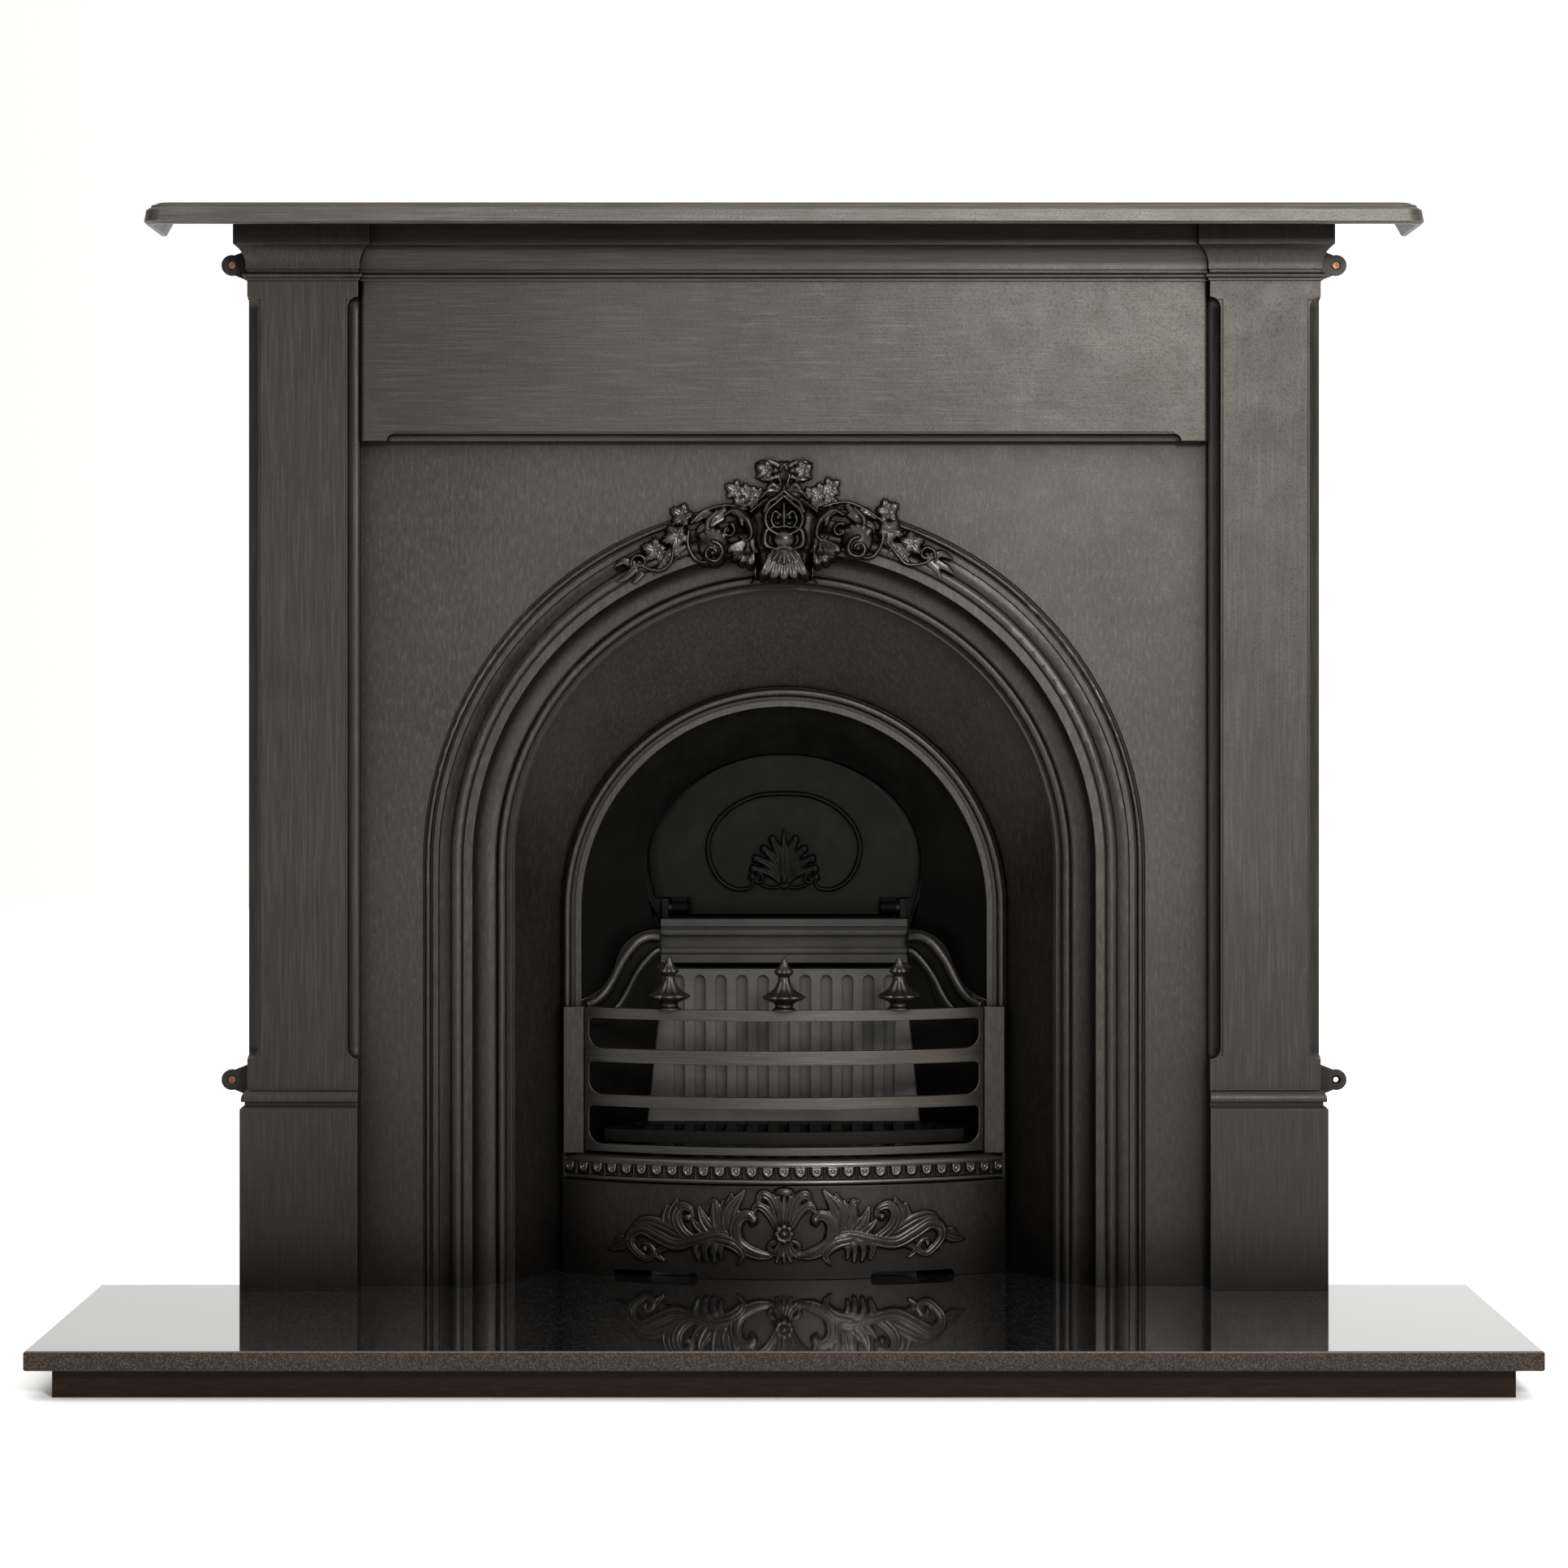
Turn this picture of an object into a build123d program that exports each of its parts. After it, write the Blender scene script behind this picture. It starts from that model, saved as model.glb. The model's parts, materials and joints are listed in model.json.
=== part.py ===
from build123d import *
import os
from math import atan2, cos, degrees, radians, sin, sqrt

# A full-size cast-iron mantel with an arched combination insert, on a granite hearth.
# Millimetres. +X right, +Y into the wall, +Z up. The front faces -Y.
# Depths are given as p, the distance in front of the wall's face; ahead(p) turns one into Y.

# ---- driving dimensions -------------------------------------------------------------------
HEARTH_WIDTH = 1524.0
HEARTH_DEPTH = 457.0
SLAB_THICKNESS = 20.0
RISER_HEIGHT = 30.0
TONGUE_HALF = 340.0
RECESS_DEPTH = 245.0
MANTEL_HEIGHT = 1193.0
INSERT_SIZE = 965.0

HEARTH_TOP = RISER_HEIGHT + SLAB_THICKNESS
WALL_Y = (HEARTH_DEPTH - RECESS_DEPTH) / 2
SHELF_TOP = HEARTH_TOP + MANTEL_HEIGHT

# mantel
WALL = 7.0
LEG_IN, LEG_OUT, LEG_FRONT = 471.0, 593.5, 38.0
BLOCK_OUT, BLOCK_FRONT, BLOCK_TOP = 601.0, 46.0, 253.0
GROOVE_TOP, BAND_TOP = 258.0, 271.0
FRIEZE_FRONT, FRIEZE_BOTTOM = 30.0, 989.0
CROWN, CAVETTO_TOP, NECK_TOP, CROWN_OUT = 1166.0, 1205.0, 1235.0, 14.0
COVE_RADIUS, COVE_LOW, COVE_HIGH = 12.0, 317.0, 1136.0
SHELF_HALF, SHELF_DEPTH, SHELF_LIP = 696.5, 125.0, 1219.0
LUG_X, LUG_LOW, LUG_HIGH, LUG_THICKNESS = 615.0, 279.0, 1186.0, 6.0
LUG_HOLE_R, SINK_R, SCREW_R, SCREW_HEAD_R, SCREW_REACH = 2.85, 5.2, 2.1, 4.0, 32.0

# insert
PLATE = 8.0
PLATE_HALF = INSERT_SIZE / 2
PLATE_TOP = HEARTH_TOP + INSERT_SIZE
ARCH_Z, ARCH_INNER = 521.0, 302.6
RIM_P = -43.0
RING_Z, RING_OUTER, RING_INNER, RING_P, RING_BACK = 463.0, 252.7, 231.4, -111.0, -118.0
LEDGE_LOW, LEDGE_HIGH, POST_TOP, POST_FRONT, POST_IN = 157.0, 186.0, 352.0, -98.0, 227.5
COVER_HALF, COVER_EDGE_P, COVER_BOW, COVER_THICKNESS, COVER_TOP = 254.0, -101.0, 65.0, 6.0, 156.5
BAR_HALF, BAR_BOW, BAR_THICKNESS, BAR_LOW = 227.0, 58.0, 12.0, 189.0
PANEL_HALF, PANEL_Z, PANEL_RISE, PANEL_FOOT, PANEL_FOOT_HALF = 158.7, 515.0, 125.0, 449.0, 140.0
HOOD_BACK, DAMPER_FRONT, DAMPER_BACK = -176.0, -180.0, -187.0
HINGE_P, HINGE_Z, PIN_R = -177.0, 461.0, 4.0
FIRE_FOOT_P, FIRE_FOOT_Z, FIRE_TOP_P, FIRE_TOP_Z = -205.0, 190.0, -160.0, 391.0
FIRE_FOOT_HALF, FIRE_TOP_HALF = 161.0, 139.0
LINTEL_LOW, LINTEL_HIGH, LINTEL_P, LINTEL_HALF = 399.0, 449.0, -150.0, 142.0
GRATE_LOW, GRATE_HIGH = 199.0, 213.0
FINIAL_X = (-130.0, 0.0, 130.0)
FIT = 0.05          # radial clearance of a bolt in its tapped hole
PLAY = 0.3          # gap between moving castings


# ---- helpers ------------------------------------------------------------------------------
def ahead(p):
    """Y of a plane p in front of the wall's face."""
    return WALL_Y - p


def outline(start, *steps):
    """A closed face: each step is a point for a straight run, or (middle, end) for an arc."""
    edges = []
    here = start
    for step in steps:
        if isinstance(step[0], tuple):
            edges.append(ThreePointArc(here, step[0], step[1]))
            here = step[1]
        else:
            edges.append(Line(here, step))
            here = step
    if here != start:
        edges.append(Line(here, start))
    return make_face(edges)


def block(x0, x1, p0, p1, z0, z1):
    corner = Pos(x0, ahead(p1), z0)
    return corner * Box(x1 - x0, p1 - p0, z1 - z0, align=(Align.MIN, Align.MIN, Align.MIN))


def front_plane(p):
    """A plane facing the room: its x is X and its y is Z."""
    return Plane(origin=(0, ahead(p), 0), x_dir=(1, 0, 0), z_dir=(0, -1, 0))


def front_prism(face, p0, p1):
    return extrude(front_plane(p0) * face, amount=p1 - p0)


def side_prism(face, half):
    """A prism along X from a face whose x is p and whose y is Z."""
    plane = Plane(origin=(half, WALL_Y, 0), x_dir=(0, -1, 0), z_dir=(-1, 0, 0))
    return extrude(plane * face, amount=2 * half)


def plan_prism(face, z0, z1):
    """A prism along Z from a face whose x is X and whose y is p."""
    plane = Plane(origin=(0, WALL_Y, z1), x_dir=(1, 0, 0), z_dir=(0, 0, -1))
    return extrude(plane * face, amount=z1 - z0)


def front_cylinder(x, z, radius, p0, p1):
    place = Pos(x, ahead(p0), z) * Rot(90, 0, 0)
    return place * Cylinder(radius, p1 - p0, align=(Align.CENTER, Align.CENTER, Align.MIN))


def front_cone(x, z, r0, r1, p0, p1):
    place = Pos(x, ahead(p0), z) * Rot(90, 0, 0)
    return place * Cone(r0, r1, p1 - p0, align=(Align.CENTER, Align.CENTER, Align.MIN))


def upright(x, p, radius, z0, z1):
    return Pos(x, ahead(p), z0) * Cylinder(radius, z1 - z0, align=(Align.CENTER, Align.CENTER, Align.MIN))


def mirrored(shape):
    return mirror(shape, about=Plane.YZ)


def hexagon(across_flats, height):
    return extrude(RegularPolygon(across_flats / 2, 6, major_radius=False), amount=height)


def bolt(shank_radius, across_flats, head, length):
    """A hex bolt whose head is under z = 0 and whose shank goes up to z = length."""
    shank = Cylinder(shank_radius, length, align=(Align.CENTER, Align.CENTER, Align.MIN))
    return Pos(0, 0, -head) * hexagon(across_flats, head) + shank


def crown_steps(face, sign):
    """The crown moulding's outline going up: fillet, bead, groove, cavetto and neck."""
    z = CROWN
    steps = [
        (face + sign * 2.0, z),
        (face + sign * 2.0, z + 2.5),
        ((face + sign * 5.0, z + 5.5), (face + sign * 2.0, z + 8.5)),
        (face + sign * 0.5, z + 8.5),
        (face + sign * 0.5, z + 12.5),
        (face + sign * 2.0, z + 12.5),
        (face + sign * 2.0, z + 14.0),
        ((face + sign * 4.4, z + 28.2), (face + sign * CROWN_OUT, CAVETTO_TOP)),
        (face + sign * CROWN_OUT, NECK_TOP),
    ]
    return steps


def crown_down(face, sign):
    """The same outline going down, ending on the face."""
    up = [(face, CROWN)] + crown_steps(face, sign)
    down = []
    for step, before in zip(reversed(up[1:]), reversed(up[:-1])):
        end = before[1] if isinstance(before[0], tuple) else before
        down.append((step[0], end) if isinstance(step[0], tuple) else end)
    return down


def export(name, *shapes):
    """Write one node, its pieces as separate solids."""
    solids = [solid for shape in shapes for solid in shape.solids()]
    whole = solids[0] if len(solids) == 1 else Compound(children=solids)
    export_step(whole, f"parts/{name}.step")


# ---- hearth -------------------------------------------------------------------------------
RISER_SETBACK = 25.0
RISER_FRONT = 435.0
RISER_THICKNESS = 20.0


def hearth_slab():
    half = HEARTH_WIDTH / 2
    slab = block(-half, half, 0, HEARTH_DEPTH, RISER_HEIGHT, HEARTH_TOP)
    rims = slab.edges().filter_by_position(Axis.Y, ahead(HEARTH_DEPTH), ahead(1))
    slab = chamfer(rims.filter_by(Axis.Z, reverse=True), 1.5)
    return slab + block(-TONGUE_HALF, TONGUE_HALF, -RECESS_DEPTH, 2, RISER_HEIGHT, HEARTH_TOP)


def build_hearth():
    edge = HEARTH_WIDTH / 2 - RISER_SETBACK
    inner = edge - RISER_THICKNESS
    back = RISER_FRONT - RISER_THICKNESS
    export("hearth_slab", hearth_slab())
    export("hearth_front_riser", block(-edge, edge, back, RISER_FRONT, 0, RISER_HEIGHT))
    right = block(inner, edge, 0, back, 0, RISER_HEIGHT)
    export("hearth_right_riser", right)
    export("hearth_left_riser", mirrored(right))
    core = block(-inner, inner, 0, back, 0, RISER_HEIGHT)
    core += block(-TONGUE_HALF, TONGUE_HALF, -RECESS_DEPTH, 0, 0, RISER_HEIGHT)
    export("hearth_core", core)


# ---- mantel -------------------------------------------------------------------------------
def leg_front_outline():
    steps = [
        (BLOCK_OUT, HEARTH_TOP),
        (BLOCK_OUT, BLOCK_TOP - 3),
        (BLOCK_OUT - 3, BLOCK_TOP),
        (BLOCK_OUT - 5, BLOCK_TOP),
        (BLOCK_OUT - 5, GROOVE_TOP),
        (BLOCK_OUT - 1.5, GROOVE_TOP),
        ((BLOCK_OUT - 2.5, GROOVE_TOP + 8), (LEG_OUT, BAND_TOP)),
        (LEG_OUT, CROWN),
    ]
    steps += crown_steps(LEG_OUT, 1)
    steps += [(LEG_IN - CROWN_OUT, NECK_TOP)]
    steps += crown_down(LEG_IN, -1)
    return outline((LEG_IN, HEARTH_TOP), *steps)


def leg_side_outline():
    steps = [
        (BLOCK_FRONT, HEARTH_TOP),
        (BLOCK_FRONT, BLOCK_TOP - 3),
        (BLOCK_FRONT - 3, BLOCK_TOP),
        (BLOCK_FRONT - 5, BLOCK_TOP),
        (BLOCK_FRONT - 5, GROOVE_TOP),
        (BLOCK_FRONT - 1.5, GROOVE_TOP),
        ((BLOCK_FRONT - 2.5, GROOVE_TOP + 8), (LEG_FRONT, BAND_TOP)),
        (LEG_FRONT, CROWN),
    ]
    steps += crown_steps(LEG_FRONT, 1)
    steps += [(0, NECK_TOP)]
    return outline((0, HEARTH_TOP), *steps)


def stopped_cove(x, p):
    """Cutter for a cove along an upright corner, with spoon-shaped stops and a thin quirk."""
    cutter = upright(x, p, COVE_RADIUS, COVE_LOW, COVE_HIGH)
    for z in (COVE_LOW, COVE_HIGH):
        cutter += Pos(x, ahead(p), z) * Sphere(COVE_RADIUS)
    reach, quirk = COVE_RADIUS + 2.5, 1.2
    low, high = COVE_LOW - 9, COVE_HIGH + 9
    cutter += block(x - reach, x + reach, p - quirk, p + quirk, low, high)
    cutter += block(x - quirk, x + quirk, p - reach, p + reach, low, high)
    return cutter


def leg_hollow():
    """The open back of the casting, between walls about 7 thick."""
    inner, outer, front = LEG_IN + WALL, LEG_OUT - WALL, LEG_FRONT - WALL
    corner = 9.0
    plan = outline(
        (inner, -1), (outer, -1), (outer, front - corner), (outer - corner, front),
        (inner + corner, front), (inner, front - corner),
    )
    hollow = plan_prism(plan, HEARTH_TOP - 1, NECK_TOP - 8)
    hollow += block(inner, BLOCK_OUT - WALL, -1, BLOCK_FRONT - WALL, HEARTH_TOP - 1, BLOCK_TOP - WALL)
    hollow += block(inner - 10, outer + 10, -1, LEG_FRONT + 5, CAVETTO_TOP - 1, NECK_TOP - 8)
    return hollow


def lug(z):
    """Countersunk wall lug at a leg's outer side."""
    reach = 20.0
    ear = outline(
        (LEG_OUT - 4, z - reach), (LUG_X - 3, z - 11.1),
        ((LUG_X + 11.5, z), (LUG_X - 3, z + 11.1)), (LEG_OUT - 4, z + reach),
    )
    tab = front_prism(ear, 0, LUG_THICKNESS)
    tab -= front_cylinder(LUG_X, z, LUG_HOLE_R, -1, LUG_THICKNESS + 1)
    sink = SINK_R - LUG_HOLE_R
    tab -= front_cone(LUG_X, z, LUG_HOLE_R, SINK_R + 1, LUG_THICKNESS - sink, LUG_THICKNESS + 1)
    return tab


SHELF_BOLT_R, SHELF_BOLT_P, SHELF_BOLT_TIP = 4.0, 16.0, 1240.5
LEG_BOLT_X = (500.0, 565.0)
FRIEZE_BOLT_X = (-300.0, 0.0, 300.0)
SIDE_BOLT_R, SIDE_BOLT_P, SIDE_BOLT_Z = 3.0, 15.5, (1035.0, 1125.0)


def side_hole(z):
    """Clearance hole for the bolt that ties a leg's inner wall to the frieze's end flange."""
    hole = Cylinder(SIDE_BOLT_R + 0.3, 40)
    return Pos(LEG_IN, ahead(SIDE_BOLT_P), z) * Rot(0, 90, 0) * hole


def right_leg():
    leg = front_prism(leg_front_outline(), -1, BLOCK_FRONT + 20) & side_prism(leg_side_outline(), 700)
    leg -= leg_hollow()
    leg -= block(LEG_IN - 1, PLATE_HALF + 1, -2, PLATE + 1, HEARTH_TOP - 1, PLATE_TOP + 2)
    leg -= stopped_cove(LEG_IN, LEG_FRONT)
    leg -= stopped_cove(LEG_OUT, LEG_FRONT)
    for x in LEG_BOLT_X:
        leg -= upright(x, SHELF_BOLT_P, SHELF_BOLT_R + 0.5, NECK_TOP - 20, NECK_TOP + 1)
    for z in SIDE_BOLT_Z:
        leg -= side_hole(z)
    for z in (LUG_LOW, LUG_HIGH):
        leg += lug(z)
    return leg


def frieze():
    edge = LEG_IN - FIT
    right = [(edge, FRIEZE_BOTTOM), (edge, CROWN)] + crown_steps(edge, -1)
    left = [(-edge + CROWN_OUT, NECK_TOP)] + crown_down(-edge, 1)
    front = outline((-edge, FRIEZE_BOTTOM), *right, *left)
    back_step = PLATE_TOP + 3
    side_steps = [(FRIEZE_FRONT, FRIEZE_BOTTOM), (FRIEZE_FRONT, CROWN)]
    side_steps += crown_steps(FRIEZE_FRONT, 1)
    side_steps += [(0, NECK_TOP), (0, back_step), (PLATE + 1, back_step)]
    side = outline((PLATE + 1, FRIEZE_BOTTOM), *side_steps)
    body = front_prism(front, -1, FRIEZE_FRONT + 20) & side_prism(side, 480)
    inside = edge - WALL
    body -= block(-inside, inside, -1, FRIEZE_FRONT - 8, FRIEZE_BOTTOM + 10, CAVETTO_TOP - 2)
    top_half = inside - CROWN_OUT
    body -= block(-top_half, top_half, -1, FRIEZE_FRONT + 6, CAVETTO_TOP - 3, NECK_TOP - 8)
    body -= bottom_cove()
    for sign in (-1, 1):
        body -= end_round(sign * edge, sign)
    for x in FRIEZE_BOLT_X:
        body -= upright(x, SHELF_BOLT_P, SHELF_BOLT_R + 0.5, NECK_TOP - 20, NECK_TOP + 1)
    for z in SIDE_BOLT_Z:
        hole = side_hole(z)
        body -= hole
        body -= mirrored(hole)
    return body


def bottom_cove():
    """Stopped cove along the frieze's lower front edge."""
    radius, half = 8.0, 432.0
    centre = Pos(0, ahead(FRIEZE_FRONT), FRIEZE_BOTTOM)
    cutter = centre * Rot(0, 90, 0) * Cylinder(radius, 2 * half)
    for sign in (-1, 1):
        cutter += Pos(sign * half, ahead(FRIEZE_FRONT), FRIEZE_BOTTOM) * Sphere(radius)
    reach, quirk = radius + 2.0, 1.0
    low, high = FRIEZE_BOTTOM - 1, FRIEZE_BOTTOM + reach
    return cutter + block(-half, half, FRIEZE_FRONT - quirk, FRIEZE_FRONT + 1, low, high)


def end_round(x, sign):
    """Cutter that rounds the frieze's upright front corner."""
    radius = 6.0
    inner = x - sign * radius
    low, high = sorted((inner, x + sign * 0.5))
    corner = block(low, high, FRIEZE_FRONT - radius, FRIEZE_FRONT + 0.5, FRIEZE_BOTTOM - 1, CROWN)
    return corner - upright(inner, FRIEZE_FRONT - radius, radius, FRIEZE_BOTTOM - 2, CROWN + 1)


def shelf_plan(inset, front_inset):
    half, front = SHELF_HALF - inset, SHELF_DEPTH - front_inset
    radius = 18.0
    bend = radius * (1 - cos(radians(45)))
    return outline(
        (-half, 0), (half, 0), (half, front - radius),
        ((half - bend, front - bend), (half - radius, front)),
        (-half + radius, front), ((-half + bend, front - bend), (-half, front - radius)),
    )


def shelf_loft(inset0, inset1, z0, z1):
    sections = []
    for inset, z in ((inset0, z0), (inset1, z1)):
        plane = Plane(origin=(0, WALL_Y, z), x_dir=(1, 0, 0), z_dir=(0, 0, -1))
        sections.append(plane * shelf_plan(inset, inset))
    return loft(sections, ruled=True)


def mantel_shelf():
    """Hollow tray shelf: two thin steps on top of a sloping fascia with a rounded foot."""
    shelf = shelf_loft(3.0, 0.0, SHELF_LIP, SHELF_LIP + 3)
    shelf += shelf_loft(0.0, 2.0, SHELF_LIP + 3, 1235.0)
    shelf += shelf_loft(3.5, 4.5, 1235.0, 1237.0)
    shelf += shelf_loft(6.0, 7.0, 1237.0, 1240.5)
    shelf += shelf_loft(11.0, 12.0, 1240.5, SHELF_TOP)
    hollow = shelf_loft(8.0, 17.0, SHELF_LIP, NECK_TOP)
    hollow += block(-SHELF_HALF + 17, SHELF_HALF - 17, -5, 5, SHELF_LIP - 1, NECK_TOP)
    shelf -= hollow
    for x in (*LEG_BOLT_X, *[-x for x in LEG_BOLT_X], *FRIEZE_BOLT_X):
        shelf -= upright(x, SHELF_BOLT_P, SHELF_BOLT_R + FIT, NECK_TOP - 1, SHELF_BOLT_TIP + 0.5)
    return shelf


def shelf_bolts():
    seat = NECK_TOP - 8
    one = bolt(SHELF_BOLT_R, 13.0, 5.5, SHELF_BOLT_TIP - seat)
    spots = [*LEG_BOLT_X, *[-x for x in LEG_BOLT_X], *FRIEZE_BOLT_X]
    return [Pos(x, ahead(SHELF_BOLT_P), seat) * one for x in spots]


def leg_bolts():
    """Bolts through the frieze's end flanges into the legs, each with its nut."""
    seat, nut_seat = LEG_IN - FIT - WALL, LEG_IN + WALL
    one = bolt(SIDE_BOLT_R, 10.0, 4.0, 2 * WALL + 7)
    nut = hexagon(10.0, 5.0) - Cylinder(SIDE_BOLT_R + FIT, 20)
    pieces = []
    for z in SIDE_BOLT_Z:
        for shape, x in ((one, seat), (nut, nut_seat)):
            piece = Pos(x, ahead(SIDE_BOLT_P), z) * Rot(0, 90, 0) * shape
            pieces += [piece, mirrored(piece)]
    return pieces


def wall_screw(x, z):
    """Countersunk cross-head screw: its head sits a little below the lug's face."""
    top = LUG_THICKNESS - (SINK_R - SCREW_HEAD_R)
    head = SCREW_HEAD_R - SCREW_R
    screw = front_cylinder(x, z, SCREW_R, -SCREW_REACH, top)
    screw += front_cone(x, z, SCREW_R, SCREW_HEAD_R, top - head, top)
    screw -= block(x - 2.2, x + 2.2, top - 1.0, top + 1, z - 0.5, z + 0.5)
    screw -= block(x - 0.5, x + 0.5, top - 1.0, top + 1, z - 2.2, z + 2.2)
    return screw


def build_mantel():
    leg = right_leg()
    export("right_leg", leg)
    export("left_leg", mirrored(leg))
    export("frieze", frieze())
    export("mantel_shelf", mantel_shelf())
    export("shelf_bolts", *shelf_bolts())
    export("leg_bolts", *leg_bolts())
    spots = ((-LUG_X, LUG_HIGH), (LUG_X, LUG_HIGH), (-LUG_X, LUG_LOW))
    export("wall_screws", *[wall_screw(x, z) for x, z in spots])


# ---- arch front ---------------------------------------------------------------------------
def arch_face(radius, centre_z, foot_z):
    return outline(
        (-radius, foot_z), (radius, foot_z), (radius, centre_z),
        ((0, centre_z + radius), (-radius, centre_z)),
    )


def arch_sweep(face, centre_z, foot_z):
    """Carry a section, x as radius and y as p, up one side, round the arch and down the other."""
    plane = Plane(origin=(0, WALL_Y, centre_z), x_dir=(1, 0, 0), z_dir=(0, 0, -1))
    section = plane * face
    side = extrude(section, amount=centre_z - foot_z)
    turn = revolve(section, axis=Axis((0, 0, centre_z), (0, -1, 0)), revolution_arc=180)
    return turn + side + mirrored(side)


def moulding_face():
    """The arch moulding: bead, fillet, ogee, flat band, deep cove, bead and inner rim."""
    return outline(
        (408, 0), (408, 8), (405.6, 8), (405.6, 5), (399, 5), (399, 6.5),
        ((396.2, 10.5), (393.4, 6.5)), (393.4, 5.5), (390.3, 5.5), (390.3, 10),
        (384.5, 10), (384.5, 7), (383.6, 7), (383.6, 9),
        ((377, 10.2), (371, 13.5)), ((364, 18.6), (358.6, 17)), (358.6, 13), (356, 13),
        (356, 17.5), (346.3, 17.5), ((339.5, -1), (323, -8)), (323, -10), (321.6, -10),
        ((316, -6), (310.3, -13)), (310.3, -22), (304.4, -22), (304.4, -30),
        (ARCH_INNER, -30), (ARCH_INNER, RIM_P), (326, RIM_P), (326, RIM_P + 7),
        (312, RIM_P + 7), (312, -30), (318, -21), (331, -16), (345, -9), (353, 2),
        (354, 7), (364, 7), (384, 0),
    )


RIM_BOLT_R, RIM_BOLT_RADIUS = 3.0, 319.0
RIM_BOLT_SPOTS = [(RIM_BOLT_RADIUS * cos(radians(a)), ARCH_Z + RIM_BOLT_RADIUS * sin(radians(a)))
                  for a in (30, 70, 110, 150)]
RIM_BOLT_SPOTS += [(side * RIM_BOLT_RADIUS, z) for side in (-1, 1) for z in (120, 400)]


def arch_plate():
    plate = block(-PLATE_HALF, PLATE_HALF, 0, PLATE, HEARTH_TOP, PLATE_TOP)
    plate -= front_prism(arch_face(402, ARCH_Z, HEARTH_TOP - 1), -1, PLATE + 1)
    plate += arch_sweep(moulding_face(), ARCH_Z, HEARTH_TOP)
    for x, z in RIM_BOLT_SPOTS:
        plate -= front_cylinder(x, z, RIM_BOLT_R + 0.3, RIM_P - 1, RIM_P + 8)
    return plate


def arch_loft(face0, p0, face1, p1):
    return loft([front_plane(p0) * face0, front_plane(p1) * face1], ruled=True)


def ring_face():
    return outline(
        (RING_OUTER, -113), (RING_OUTER, -109), ((247.8, -103.6), (243, -108.5)),
        (243, -110), (238.4, -110), (238.4, -107.5), (RING_INNER, -107.5), (RING_INNER, -113),
    )


BACK_BOLT_X = 244.6
POST_BOLT_SPOTS = [(side * BACK_BOLT_X, z) for side in (-1, 1) for z in (215, 285)]
LEDGE_BOLT_SPOTS = [(-BACK_BOLT_X, 171), (BACK_BOLT_X, 171)]
BACK_BOLT_R = 2.0


def arch_reveal():
    """The splayed casting between the arch front and the inner ring, with bolting flanges."""
    thick = 7.0
    outer = arch_loft(
        arch_face(ARCH_INNER + thick, ARCH_Z, HEARTH_TOP), RIM_P,
        arch_face(RING_OUTER + thick, RING_Z, HEARTH_TOP), RING_P,
    )
    hole = arch_loft(
        arch_face(ARCH_INNER, ARCH_Z, HEARTH_TOP - 1), RIM_P,
        arch_face(RING_OUTER, RING_Z, HEARTH_TOP - 1), RING_P,
    )
    reveal = outer + front_prism(arch_face(326, ARCH_Z, HEARTH_TOP), RIM_P - 7, RIM_P)
    reveal -= hole
    back_ring = front_prism(arch_face(RING_OUTER + thick, RING_Z, HEARTH_TOP), RING_BACK, RING_P)
    reveal += back_ring - front_prism(arch_face(RING_INNER, RING_Z, HEARTH_TOP - 1), -130, -100)
    reveal += arch_sweep(ring_face(), RING_Z, POST_TOP)
    for x, z in RIM_BOLT_SPOTS:
        reveal -= front_cylinder(x, z, RIM_BOLT_R + 0.3, RIM_P - 8, RIM_P + 1)
    for x, z in POST_BOLT_SPOTS + LEDGE_BOLT_SPOTS:
        reveal -= front_cylinder(x, z, BACK_BOLT_R + 0.3, RING_BACK - 1, RING_P + 1)
    return reveal


def insert_bolts():
    """Bolts through the rim flanges, each with a nut, and bolts into the posts and ledge."""
    pieces = []
    rim = bolt(RIM_BOLT_R, 10.0, 4.0, 20)
    nut = hexagon(10.0, 5.0) - Cylinder(RIM_BOLT_R + FIT, 20)
    for x, z in RIM_BOLT_SPOTS:
        pieces.append(Pos(x, ahead(RIM_P - 7), z) * Rot(90, 0, 0) * rim)
        pieces.append(Pos(x, ahead(RIM_P + 7), z) * Rot(90, 0, 0) * nut)
    back = bolt(BACK_BOLT_R, 7.0, 3.0, 15)
    for x, z in POST_BOLT_SPOTS + LEDGE_BOLT_SPOTS:
        pieces.append(Pos(x, ahead(RING_BACK), z) * Rot(90, 0, 0) * back)
    return pieces


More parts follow.
